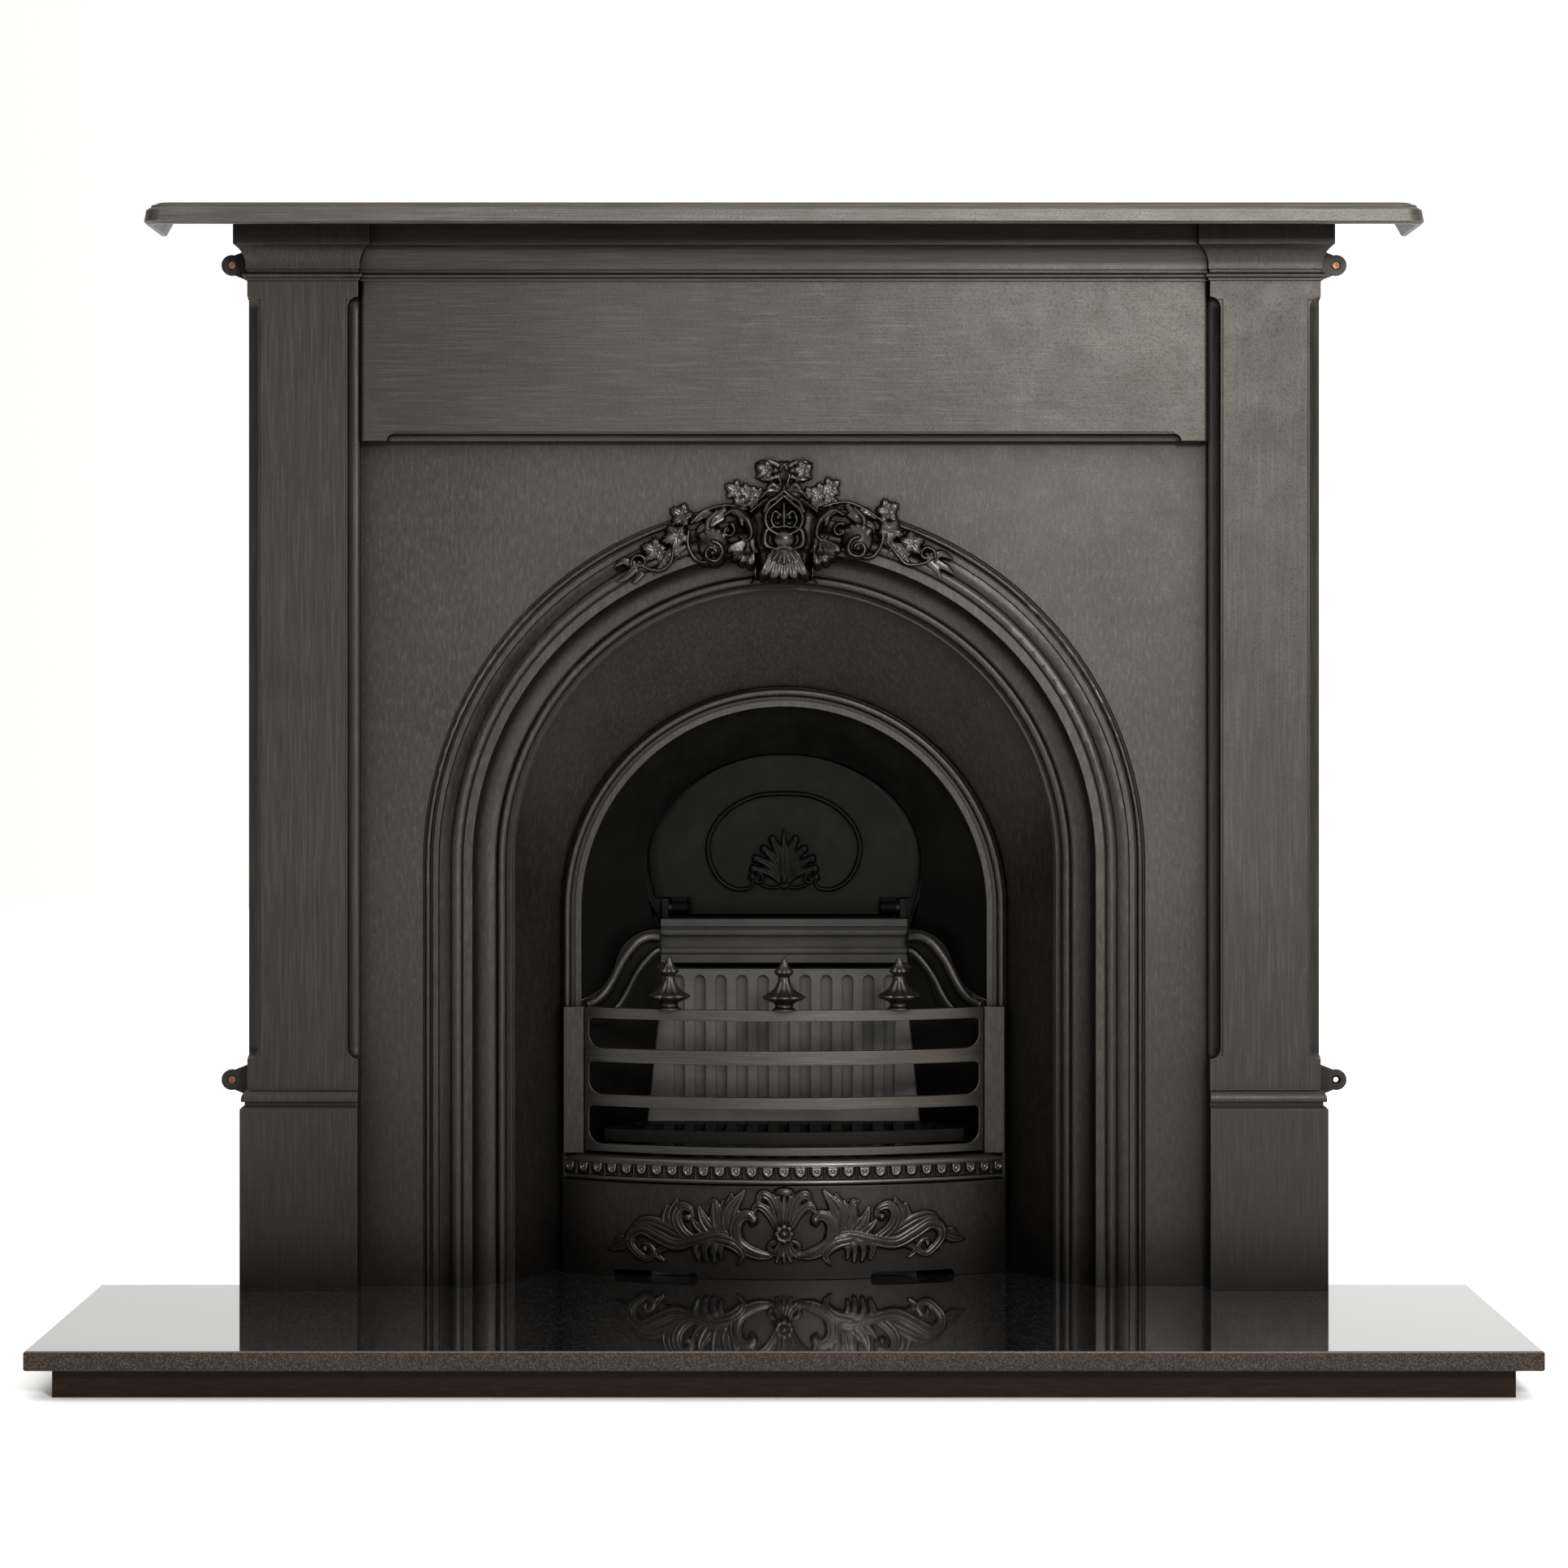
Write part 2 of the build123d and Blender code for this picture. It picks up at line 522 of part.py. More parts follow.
def keystone_ornament():
    """Vine and shell keystone: overlapping lobes laid over the arch moulding."""
    ornament = front_prism(Ellipse(24, 34).moved(Location((0, 899))), -40, 46)
    ornament += front_prism(Rectangle(56, 26).moved(Location((0, 956))), -40, 26)
    ornament += front_prism(Rectangle(24, 40).moved(Location((0, 938))), -40, 36)
    ornament += front_prism(Ellipse(66, 30).moved(Location((0, 862))), -40, 34)
    ornament += front_prism(Ellipse(29, 24).moved(Location((0, 855))), -40, 40)
    lobes = ((42, 928, 22, 24), (55, 900, 24, 32), (82, 874, 20, 38), (92, 896, 18, 33),
             (114, 899, 22, 31), (120, 882, 20, 30), (140, 864, 16, 28), (158, 855, 13, 25),
             (176, 848, 13, 22))
    for x, z, radius, p in lobes:
        for side in (-1, 1):
            ornament += front_cylinder(side * x, z, radius, -40, p)
    covered = outline(
        (480, -60), (480, 8), (408, 8), (399, 10.5), (390.3, 10.5), (374, 13), (368, 19.1),
        (346.3, 19.1), (339.5, -1), (323, -6), (310.3, -6), (302.6, -22), (302.6, -60),
    )
    ornament -= arch_sweep(covered, ARCH_Z, HEARTH_TOP)
    ornament &= front_prism(Rectangle(384, 139).moved(Location((0, 900))), -12, 60)
    return ornament


# ---- smoke hood and damper ----------------------------------------------------------------
def panel_face(grow, foot):
    """The damper's horseshoe outline: a half ellipse over sides that draw in to the foot."""
    half, rise = PANEL_HALF + grow, PANEL_RISE + grow
    foot_half = PANEL_FOOT_HALF + grow
    middle = (half - 4.0, (PANEL_Z + foot) / 2)
    top = EllipticalCenterArc((0, PANEL_Z), half, rise, start_angle=0, arc_size=180)
    edges = [
        Line((-foot_half, foot), (foot_half, foot)),
        ThreePointArc((foot_half, foot), middle, (half, PANEL_Z)),
        top,
        ThreePointArc((-half, PANEL_Z), (-middle[0], middle[1]), (-foot_half, foot)),
    ]
    return make_face(edges)


HOOD_LAP = 22.0      # how far the hood's sides reach down behind the heads of the cheeks


def smoke_hood():
    """Funnel from the ring back to the damper, open below, with a seat behind the damper."""
    thick = 5.0
    foot = PANEL_FOOT - HOOD_LAP
    outer = arch_loft(arch_face(RING_INNER + thick, RING_Z, POST_TOP - HOOD_LAP), RING_BACK,
                      panel_face(thick, foot), HOOD_BACK)
    hole = arch_loft(arch_face(RING_INNER, RING_Z, POST_TOP - HOOD_LAP - 12), RING_BACK,
                     panel_face(0, foot - 12), HOOD_BACK)
    hood = outer - hole
    frame = front_prism(panel_face(thick, PANEL_FOOT), DAMPER_BACK - 7, HOOD_BACK)
    frame -= front_prism(panel_face(0, PANEL_FOOT - 12), DAMPER_BACK, HOOD_BACK + 1)
    frame -= front_prism(panel_face(-14, PANEL_FOOT - 12), DAMPER_BACK - 8, DAMPER_BACK + 1)
    hood += frame
    ear = damper_ear()
    hood += ear
    hood += mirrored(ear)
    below = front_prism(under_s(0.5, 0.5), HOOD_BACK - 14, RING_BACK + 5)
    hood -= below
    hood -= mirrored(below)
    reach = LINTEL_HALF + PLAY
    hood -= block(-reach, reach, HOOD_BACK + 1, -130, PANEL_FOOT - 60, PANEL_FOOT + 0.5)
    return hood + hood_skirt()


def hood_skirt():
    """Plate behind the hood's foot, lapping behind the lintel, the fireback's head and the cheeks."""
    front = DAMPER_BACK - 7
    rear = front - 6
    skirt = block(-145, 145, rear, front, PANEL_FOOT, HINGE_Z + 11)
    skirt += block(-236, 236, rear, front, FIRE_TOP_Z - 33, PANEL_FOOT + 14)
    wing = block(172, 236, rear, front, 345, FIRE_TOP_Z - 32)
    return skirt + wing + mirrored(wing)


HINGE_SPAN = (112.0, 130.0)
EAR_IN = 134.0


def damper_ear():
    """The right-hand ear behind the hood's foot that holds a damper pin."""
    return block(EAR_IN, EAR_IN + 7, DAMPER_BACK, HINGE_P + 6, PANEL_FOOT, HINGE_Z + 9)


def damper_door():
    panel = front_prism(panel_face(-1.5, PANEL_FOOT + 4), DAMPER_BACK + 0.5, DAMPER_FRONT)
    for side in (-1, 1):
        low, high = sorted((side * HINGE_SPAN[0], side * 145))
        panel -= block(low, high, -200, -150, HINGE_Z - 14, HINGE_Z + 12)
    inner = HINGE_SPAN[1] - HINGE_SPAN[0]
    barrel = Cylinder(7.0, inner) - Cylinder(PIN_R + FIT, inner + 2)
    for side in (-1, 1):
        x = side * sum(HINGE_SPAN) / 2
        panel += Pos(x, ahead(HINGE_P), HINGE_Z) * Rot(0, 90, 0) * barrel
        low, high = sorted((side * (HINGE_SPAN[0] - 8), side * HINGE_SPAN[1]))
        web = block(low, high, DAMPER_BACK + 0.5, DAMPER_FRONT, HINGE_Z + 5, HINGE_Z + 20)
        web -= Pos(x, ahead(HINGE_P), HINGE_Z) * Rot(0, 90, 0) * Cylinder(PIN_R + 1, 60)
        panel += web
    panel += damper_moulding()
    return panel


def damper_moulding():
    """Raised D moulding and a palmette on the damper's face."""
    half, low, high, thick = 91.0, 479.5, 597.0, 7.0
    root, bead, leaf_top = DAMPER_FRONT - 1, DAMPER_FRONT + 5, DAMPER_FRONT + 6
    centre = (low + high) / 2 - 4
    rise = high - centre
    middle = Location((0, centre))
    ring = front_prism(Ellipse(half, rise).moved(middle), root, bead)
    ring -= front_prism(Ellipse(half - thick, rise - thick).moved(middle), -200, -150)
    ring -= block(-95, 95, -200, -150, 440, low)
    ring += block(-58, 58, root, bead, low, low + thick)
    for angle, reach in ((0, 62), (-28, 50), (28, 50), (-56, 36), (56, 36)):
        leaf = Ellipse(7, reach / 2).moved(Location((0, reach / 2))).rotate(Axis.Z, -angle)
        ring += front_prism(leaf.moved(Location((0, low + thick))), root, leaf_top)
    return ring


def damper_pins():
    reach = EAR_IN - HINGE_SPAN[0]
    pin = Cylinder(PIN_R, reach, align=(Align.CENTER, Align.CENTER, Align.MIN))
    right = Pos(HINGE_SPAN[0], ahead(HINGE_P), HINGE_Z) * Rot(0, 90, 0) * pin
    return [right, mirrored(right)]


# ---- fire chamber -------------------------------------------------------------------------
def lintel_face():
    p, top, low = LINTEL_P, LINTEL_HIGH, LINTEL_LOW
    return outline(
        (p - 18, low), (p - 2, low), (p - 2, low + 9), (p - 3.5, low + 10),
        ((p + 1, low + 13.5), (p - 3.5, low + 17)), ((p - 8, low + 24), (p - 3.5, low + 31.5)),
        ((p + 2, low + 35), (p - 3.5, low + 38.5)), (p - 3.5, low + 41), (p, low + 42),
        (p, top), (p - 18, top),
    )


def throat_lintel():
    return side_prism(lintel_face(), LINTEL_HALF)


def fireback():
    """Leaning fluted slab on an upright foot that stands on the hearth."""
    thick = 25.0
    side = outline(
        (FIRE_FOOT_P, HEARTH_TOP), (FIRE_FOOT_P, FIRE_FOOT_Z), (FIRE_TOP_P, FIRE_TOP_Z),
        (FIRE_TOP_P - thick, FIRE_TOP_Z), (FIRE_FOOT_P - thick - 2, FIRE_FOOT_Z),
        (FIRE_FOOT_P - thick - 2, HEARTH_TOP),
    )
    front = outline(
        (-FIRE_FOOT_HALF, HEARTH_TOP), (FIRE_FOOT_HALF, HEARTH_TOP), (FIRE_FOOT_HALF, FIRE_FOOT_Z),
        (FIRE_TOP_HALF, FIRE_TOP_Z), (-FIRE_TOP_HALF, FIRE_TOP_Z), (-FIRE_FOOT_HALF, FIRE_FOOT_Z),
    )
    slab = side_prism(side, 200) & front_prism(front, -240, -140)
    lean = degrees(atan2(FIRE_TOP_P - FIRE_FOOT_P, FIRE_TOP_Z - FIRE_FOOT_Z))
    radius, sunk, length = 7.5, 2.5, 146.0
    start = 46.0
    for index in range(11):
        x = (index - 5) * 24.4
        flute = Cylinder(radius, length, align=(Align.CENTER, Align.CENTER, Align.MIN))
        flute += Pos(0, 0, length) * Sphere(radius)
        place = Pos(x, ahead(FIRE_FOOT_P), FIRE_FOOT_Z) * Rot(lean, 0, 0) * Pos(0, -sunk, start)
        slab -= place * flute
    return slab


CHEEK_TOP = 450.0
CHEEK_LAP = 3.0      # how far a cheek would run past the fireback's edge before it is trimmed to it


def cheek_quad(x_end, p_end, inward, outward):
    """Plan of the cheek wall from the ring's edge to the fireback's edge."""
    start = (RING_INNER, RING_BACK)
    run = (x_end - start[0], p_end - start[1])
    length = sqrt(run[0] ** 2 + run[1] ** 2)
    normal = (-run[1] / length, run[0] / length)
    shift_out = outward / normal[0]
    shift_in = inward / normal[0]
    return outline(
        (start[0] - shift_in, start[1]), (start[0] + shift_out, start[1]),
        (x_end + normal[0] * outward, p_end + normal[1] * outward),
        (x_end - normal[0] * inward, p_end - normal[1] * inward),
    )


def cheek_wall(inward, outward):
    share = (CHEEK_TOP - FIRE_FOOT_Z) / (FIRE_TOP_Z - FIRE_FOOT_Z)
    foot_half = FIRE_FOOT_HALF - CHEEK_LAP
    foot = (foot_half, FIRE_FOOT_P)
    top_half = foot_half + (FIRE_TOP_HALF - FIRE_FOOT_HALF) * share
    top = (top_half, FIRE_FOOT_P + (FIRE_TOP_P - FIRE_FOOT_P) * share)
    plane = Plane(origin=(0, WALL_Y, 0), x_dir=(1, 0, 0), z_dir=(0, 0, -1))
    low = plane.offset(-FIRE_FOOT_Z) * cheek_quad(*foot, inward, outward)
    high = plane.offset(-CHEEK_TOP) * cheek_quad(*top, inward, outward)
    wall = loft([low, high], ruled=True)
    if inward == 0:
        wall += plan_prism(cheek_quad(*foot, inward, outward), HEARTH_TOP, FIRE_FOOT_Z)
    return wall


def s_curve(shift_x, shift_z):
    """The S line at the head of a cheek, from the lintel's end down to the post, as arc steps."""
    def at(x, z):
        return (x + shift_x, z + shift_z)
    return [(at(172, 431), at(192, 404)), (at(208, 373), at(232, 358))]


def under_s(shift_x, shift_z):
    """Everything below the S line, seen from the front."""
    start = (LINTEL_HALF - 4, 437.0 + shift_z)
    return outline(
        start, *s_curve(shift_x, shift_z),
        (275, 358 + shift_z), (275, 40), (120, 40), (120, 437 + shift_z),
    )


def s_band(top_x, top_z, low_x, low_z):
    upper = front_prism(under_s(top_x, top_z), -260, -90)
    return upper - front_prism(under_s(low_x, low_z), -261, -89)


def right_cheek():
    wall = cheek_wall(0, 7.0) & front_prism(under_s(0, 0), -260, -90)
    wide = cheek_wall(2.0, 3.0)
    raised = cheek_wall(5.5, 3.0)
    wall += wide & s_band(0, 0, -24, -27)
    wall += raised & s_band(0, 0, -4, -5.5)
    wall += raised & s_band(-19, -21.5, -24, -27)
    wall &= block(130, 275, -260, RING_BACK - FIT, HEARTH_TOP, CHEEK_TOP)
    wall -= block(240.4, 275, -124, -116, HEARTH_TOP - 1, CHEEK_TOP)
    wall -= block(130, LINTEL_HALF + PLAY, -260, -100, LINTEL_LOW - 1, CHEEK_TOP + 1)
    wall -= front_prism(outline(
        (120, HEARTH_TOP - 1), (FIRE_FOOT_HALF, HEARTH_TOP - 1), (FIRE_FOOT_HALF, FIRE_FOOT_Z),
        (FIRE_TOP_HALF, FIRE_TOP_Z), (FIRE_TOP_HALF, 450), (120, 450)), -260, FIRE_TOP_P + 1)
    wall += block(LINTEL_HALF - 12, 152, -166, -155, LINTEL_LOW - 7, LINTEL_LOW)
    wall += block(148, 178, -189, -179, GRATE_LOW - 12, GRATE_LOW)
    return wall


def grate_front(x):
    return -57.0 - x * x / 875.0


def bottom_grate():
    """Loose grate: a bowed front rail, bars running front to back, and four feet."""
    plan = outline(
        (-205, grate_front(205)), ((0, grate_front(0)), (205, grate_front(205))),
        (210, -122), (158, -186), (-158, -186), (-210, -122),
    )
    grate = plan_prism(plan, GRATE_LOW, GRATE_HIGH)
    pitch, slot_half = 24.0, 6.0
    for index in range(15):
        x = (index - 7) * pitch
        rear = -180.0 if abs(x) < 150 else -162.0
        grate -= block(x - slot_half, x + slot_half, rear, grate_front(abs(x) + slot_half) - 12, 190, 220)
    for x in (-120, 120):
        grate += upright(x, -80, 5.0, LEDGE_HIGH, GRATE_LOW + 1)
    return grate


def bow_radius(half, bow):
    return (half ** 2 + bow ** 2) / (2 * bow)


def bow_plan(half, front_centre, thick, radius):
    """Plan of a plate bent on a vertical axis: its middle is at front_centre."""
    def edge(reach, x):
        return front_centre - radius + sqrt(reach ** 2 - x ** 2)
    inner = radius - thick
    return outline(
        (-half, edge(inner, half)), (-half, edge(radius, half)),
        ((0, front_centre), (half, edge(radius, half))), (half, edge(inner, half)),
        ((0, front_centre - thick), (-half, edge(inner, half))),
    )


SLOTS = ((306.0, 340.0), (253.5, 290.5), (197.5, 240.5))
BAR_CENTRE_P = -98.0 + BAR_BOW
BAR_RADIUS = bow_radius(BAR_HALF, BAR_BOW)


def slot_face(low, high):
    """One opening between bars: small radii above, large ones below."""
    half, top_r, low_r = 222.0, 6.0, 16.0
    t, b = top_r * 0.293, low_r * 0.293
    return outline(
        (-half + low_r, low), (half - low_r, low),
        ((half - b, low + b), (half, low + low_r)), (half, high - top_r),
        ((half - t, high - t), (half - top_r, high)), (-half + top_r, high),
        ((-half + t, high - t), (-half, high - top_r)), (-half, low + low_r),
        ((-half + b, low + b), (-half + low_r, low)),
    )


def finial_p(x):
    return BAR_CENTRE_P - BAR_RADIUS + sqrt(BAR_RADIUS ** 2 - x ** 2) - BAR_THICKNESS / 2


def front_bars():
    """Bowed casting of four bars with hooks that drop into pockets in the posts."""
    bars = plan_prism(bow_plan(BAR_HALF, BAR_CENTRE_P, BAR_THICKNESS, BAR_RADIUS), BAR_LOW, POST_TOP)
    for low, high in SLOTS:
        bars -= front_prism(slot_face(low, high), -140, 0)
    hook = block(BAR_HALF - 5, 239.7, -105.9, -100.9, 301, POST_TOP - 1)
    bars += hook + mirrored(hook)
    for x in FINIAL_X:
        bars -= upright(x, finial_p(x), 3.0 + FIT, POST_TOP - 9, POST_TOP + 1)
    return bars


def finial(x):
    """Turned finial on a stud: foot, waist, bulge, neck, collar and tip."""
    z = POST_TOP
    face = outline(
        (0, z - 8), (3.0, z - 8), (3.0, z), (13.5, z), (13.5, z + 1.6),
        ((10.4, z + 4.8), (12.4, z + 8.5)), (20.2, z + 13), ((21.1, z + 14.8), (20.0, z + 16.6)),
        ((10.2, z + 25), (6.8, z + 37)), (10.8, z + 42), ((11.4, z + 44), (9.8, z + 46)),
        ((5.2, z + 50.5), (3.3, z + 56.5)), (2.2, z + 59.2), (0, z + 60),
    )
    section = Plane(origin=(0, 0, 0), x_dir=(1, 0, 0), z_dir=(0, -1, 0)) * face
    return Pos(x, ahead(finial_p(x)), 0) * revolve(section, axis=Axis.Z)


def right_post():
    post = block(POST_IN, 252.0, RING_P, POST_FRONT, LEDGE_HIGH, POST_TOP)
    post = chamfer(post.edges().filter_by(Axis.Z).filter_by_position(
        Axis.Y, ahead(POST_FRONT) - 0.1, ahead(POST_FRONT) + 0.1), 1.2)
    post -= block(POST_IN - 1, 240.3, -106.4, -100.4, 300.5, POST_TOP + 1)
    for x, z in POST_BOLT_SPOTS:
        post -= front_cylinder(x, z, BACK_BOLT_R + FIT, RING_P - 1, RING_P + 9)
    return post


LEDGE_HALF, LEDGE_BOW, LEDGE_CENTRE_P = 249.0, 68.0, -30.0


def grate_ledge():
    """Bowed ledge with a rounded foot, an upright band for the beading and a coved top."""
    radius = bow_radius(LEDGE_HALF, LEDGE_BOW)
    low, high = LEDGE_LOW, LEDGE_HIGH
    face = outline(
        (radius - 46, low), (radius - 3, low), ((radius, low + 3), (radius - 3, low + 6)),
        (radius - 4, low + 6), (radius - 2.5, low + 8), (radius - 1, low + 19),
        (radius - 2.5, low + 20.5), ((radius - 7, low + 23), (radius - 13, high)),
        (radius - 46, high),
    )
    section = Plane(origin=(0, 0, 0), x_dir=(1, 0, 0), z_dir=(0, -1, 0)) * face
    turn = revolve(section, axis=Axis.Z, revolution_arc=360)
    ledge = Pos(0, ahead(LEDGE_CENTRE_P - radius), 0) * turn
    ledge &= block(-LEDGE_HALF, LEDGE_HALF, RING_P, 0, low - 1, high + 1)
    for side in (-1, 1):
        x0, x1 = sorted((side * 226.0, side * LEDGE_HALF))
        ledge += block(x0, x1, RING_P, -106, low, high)
    for x, z in LEDGE_BOLT_SPOTS:
        ledge -= front_cylinder(x, z, BACK_BOLT_R + FIT, RING_P - 1, RING_P + 9)
    return ledge


COVER_RADIUS = bow_radius(COVER_HALF, COVER_BOW)
COVER_CENTRE_P = COVER_EDGE_P + COVER_BOW
KNOB_Z = 103.0


def cover_layer(half, front_centre, thick, z0, z1):
    radius = COVER_RADIUS + front_centre - COVER_CENTRE_P
    return plan_prism(bow_plan(half, front_centre, thick, radius), z0, z1)


def notch(x):
    half, low, high, radius = 47.5, HEARTH_TOP - 1, HEARTH_TOP + 7.3, 5.0
    bend = radius * 0.293
    return front_prism(outline(
        (x - half, low), (x + half, low), (x + half, high - radius),
        ((x + half - bend, high - bend), (x + half - radius, high)), (x - half + radius, high),
        ((x - half + bend, high - bend), (x - half, high - radius))), -120, -20)


def scroll_outline():
    """Front view of the cover's scrollwork as broad lobes."""
    shape = Ellipse(22, 44).moved(Location((0, 110)))
    for side in (-1, 1):
        shape += Ellipse(28, 26).moved(Location((side * 46, 104)))
        shape += Ellipse(26, 30).moved(Location((side * 84, 110)))
        shape += Ellipse(36, 14).moved(Location((side * 128, 100)))
        shape += Ellipse(24, 18).moved(Location((side * 160, 94)))
        shape += Ellipse(16, 8).moved(Location((side * 184, 88)))
    return shape


def ash_cover():
    """Bowed cover of the ash pit, with cast scrollwork and two air notches."""
    cover = cover_layer(COVER_HALF, COVER_CENTRE_P, COVER_THICKNESS, HEARTH_TOP + PLAY, COVER_TOP)
    relief = cover_layer(COVER_HALF, COVER_CENTRE_P + 6, 8, HEARTH_TOP + 4, COVER_TOP)
    relief &= front_prism(scroll_outline(), -120, 0)
    cover += relief
    for x in (-145.5, 145.5):
        cover -= notch(x)
    cover -= front_cylinder(0, KNOB_Z, 2.5 + FIT, COVER_CENTRE_P - 10, COVER_CENTRE_P + 10)
    cover -= front_cylinder(0, KNOB_Z, 8.0, COVER_CENTRE_P + 2, COVER_CENTRE_P + 10)
    return cover


def cover_knob():
    """Rosette of eight petals round a ball, on a short neck."""
    base = COVER_CENTRE_P + 2
    knob = front_cylinder(0, KNOB_Z, 7.5, base, base + 8)
    knob += front_cylinder(0, KNOB_Z, 8.0, base + 8, base + 13)
    for index in range(8):
        angle = radians(45 * index)
        x, z = 8.0 * cos(angle), KNOB_Z + 8.0 * sin(angle)
        knob += Pos(x, ahead(base + 11), z) * Sphere(3.9)
    knob += Pos(0, ahead(base + 13), KNOB_Z) * Sphere(4.2)
    knob -= front_cylinder(0, KNOB_Z, 2.5 + FIT, base - 1, base + 8)
    return knob


def knob_screw():
    back = COVER_CENTRE_P - COVER_THICKNESS - FIT
    head = front_cylinder(0, KNOB_Z, 4.5, back - 3, back)
    head -= block(-5, 5, back - 4, back - 1.8, KNOB_Z - 0.6, KNOB_Z + 0.6)
    return head + front_cylinder(0, KNOB_Z, 2.5, back - 1, COVER_CENTRE_P + 9)


def ash_pan():
    """Folded steel tray with a rolled front grip."""
    half, rear, front = 150.0, -190.0, -72.0
    low, high, sheet = HEARTH_TOP + PLAY, 98.0, 1.5
    pan = block(-half, half, rear, front, low, high)
    pan -= block(-half + sheet, half - sheet, rear + sheet, front - sheet, low + sheet, high + 1)
    pan += block(-50, 50, front - sheet, front + 8, high - sheet, high)
    pan += block(-50, 50, front + 8 - sheet, front + 8, high - 8, high)
    return pan


def build_insert():
    export("arch_plate", arch_plate())
    export("arch_reveal", arch_reveal())
    export("insert_bolts", *insert_bolts())
    export("keystone_ornament", keystone_ornament())
    cheek = right_cheek()
    export("right_cheek", cheek)
    export("left_cheek", mirrored(cheek))
    export("smoke_hood", smoke_hood())
    export("damper_door", damper_door())
    export("damper_pins", *damper_pins())
    export("throat_lintel", throat_lintel())
    export("fireback", fireback())
    export("bottom_grate", bottom_grate())
    export("front_bars", front_bars())
    for name, x in zip(("finial_left", "finial_centre", "finial_right"), FINIAL_X):
        export(name, finial(x))
    post = right_post()
    export("right_post", post)
    export("left_post", mirrored(post))
    export("grate_ledge", grate_ledge())
    export("ash_cover", ash_cover())
    export("cover_knob", cover_knob())
    export("knob_screw", knob_screw())
    export("ash_pan", ash_pan())


os.makedirs("parts", exist_ok=True)
build_hearth()
build_mantel()
build_insert()
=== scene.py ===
"""A cast-iron mantel with an arched insert on a granite hearth: the looks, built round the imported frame."""

import json
from math import cos, pi, radians, sin

import bpy
import numpy as np
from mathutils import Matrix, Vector


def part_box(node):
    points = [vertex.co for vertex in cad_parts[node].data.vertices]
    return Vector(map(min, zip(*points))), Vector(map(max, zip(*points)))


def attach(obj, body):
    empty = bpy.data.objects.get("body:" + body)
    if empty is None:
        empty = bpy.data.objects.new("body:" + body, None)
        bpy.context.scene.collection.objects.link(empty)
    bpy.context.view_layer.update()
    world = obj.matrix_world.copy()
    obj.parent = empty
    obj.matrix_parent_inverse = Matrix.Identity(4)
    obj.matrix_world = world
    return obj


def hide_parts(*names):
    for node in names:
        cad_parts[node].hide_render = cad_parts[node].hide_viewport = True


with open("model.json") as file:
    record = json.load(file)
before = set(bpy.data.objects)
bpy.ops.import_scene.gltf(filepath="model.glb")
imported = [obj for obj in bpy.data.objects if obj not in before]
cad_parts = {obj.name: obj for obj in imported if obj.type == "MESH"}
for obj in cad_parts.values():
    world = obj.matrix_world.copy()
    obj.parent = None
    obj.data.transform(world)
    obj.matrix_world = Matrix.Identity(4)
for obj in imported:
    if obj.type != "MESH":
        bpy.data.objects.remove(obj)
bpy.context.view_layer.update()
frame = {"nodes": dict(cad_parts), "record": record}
scene = bpy.context.scene

# Pieces are drawn in millimetres: x to the right, z up, and p in front of the wall's face.
MM = 0.001
WALL_Y = next(m for m in frame["record"]["mounts"] if m["name"] == "wall_face")["pos_m"][1]


def box_mm(node):
    """A CAD node's box as (x0, x1), (p0, p1), (z0, z1) in millimetres."""
    low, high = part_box(node)
    depth = ((WALL_Y - high.y) / MM, (WALL_Y - low.y) / MM)
    return (low.x / MM, high.x / MM), depth, (low.z / MM, high.z / MM)


# ---- materials ----------------------------------------------------------------------------
SPAN_SOCKETS = ("From Min", "From Max", "To Min", "To Max")


class Nodes:
    """Short ways to add nodes to a node tree."""

    def __init__(self, tree):
        self.tree = tree

    def add(self, kind):
        return self.tree.nodes.new(kind)

    def link(self, source, target):
        self.tree.links.new(source, target)

    def put(self, value, socket):
        """Links an output to a socket, or sets a plain value on it."""
        if isinstance(value, bpy.types.NodeSocket):
            self.link(value, socket)
        else:
            socket.default_value = value

    def span(self, value, low, high, to_low=0.0, to_high=1.0, steps="LINEAR"):
        node = self.add("ShaderNodeMapRange")
        node.interpolation_type = steps
        self.link(value, node.inputs["Value"])
        for socket, number in zip(SPAN_SOCKETS, (low, high, to_low, to_high)):
            node.inputs[socket].default_value = number
        return node.outputs["Result"]

    def maths(self, operation, first, second):
        node = self.add("ShaderNodeMath")
        node.operation = operation
        self.put(first, node.inputs[0])
        self.put(second, node.inputs[1])
        return node.outputs["Value"]

    def axes(self, vector):
        """The X, Y and Z of a vector."""
        node = self.add("ShaderNodeSeparateXYZ")
        self.link(vector, node.inputs["Vector"])
        return node.outputs


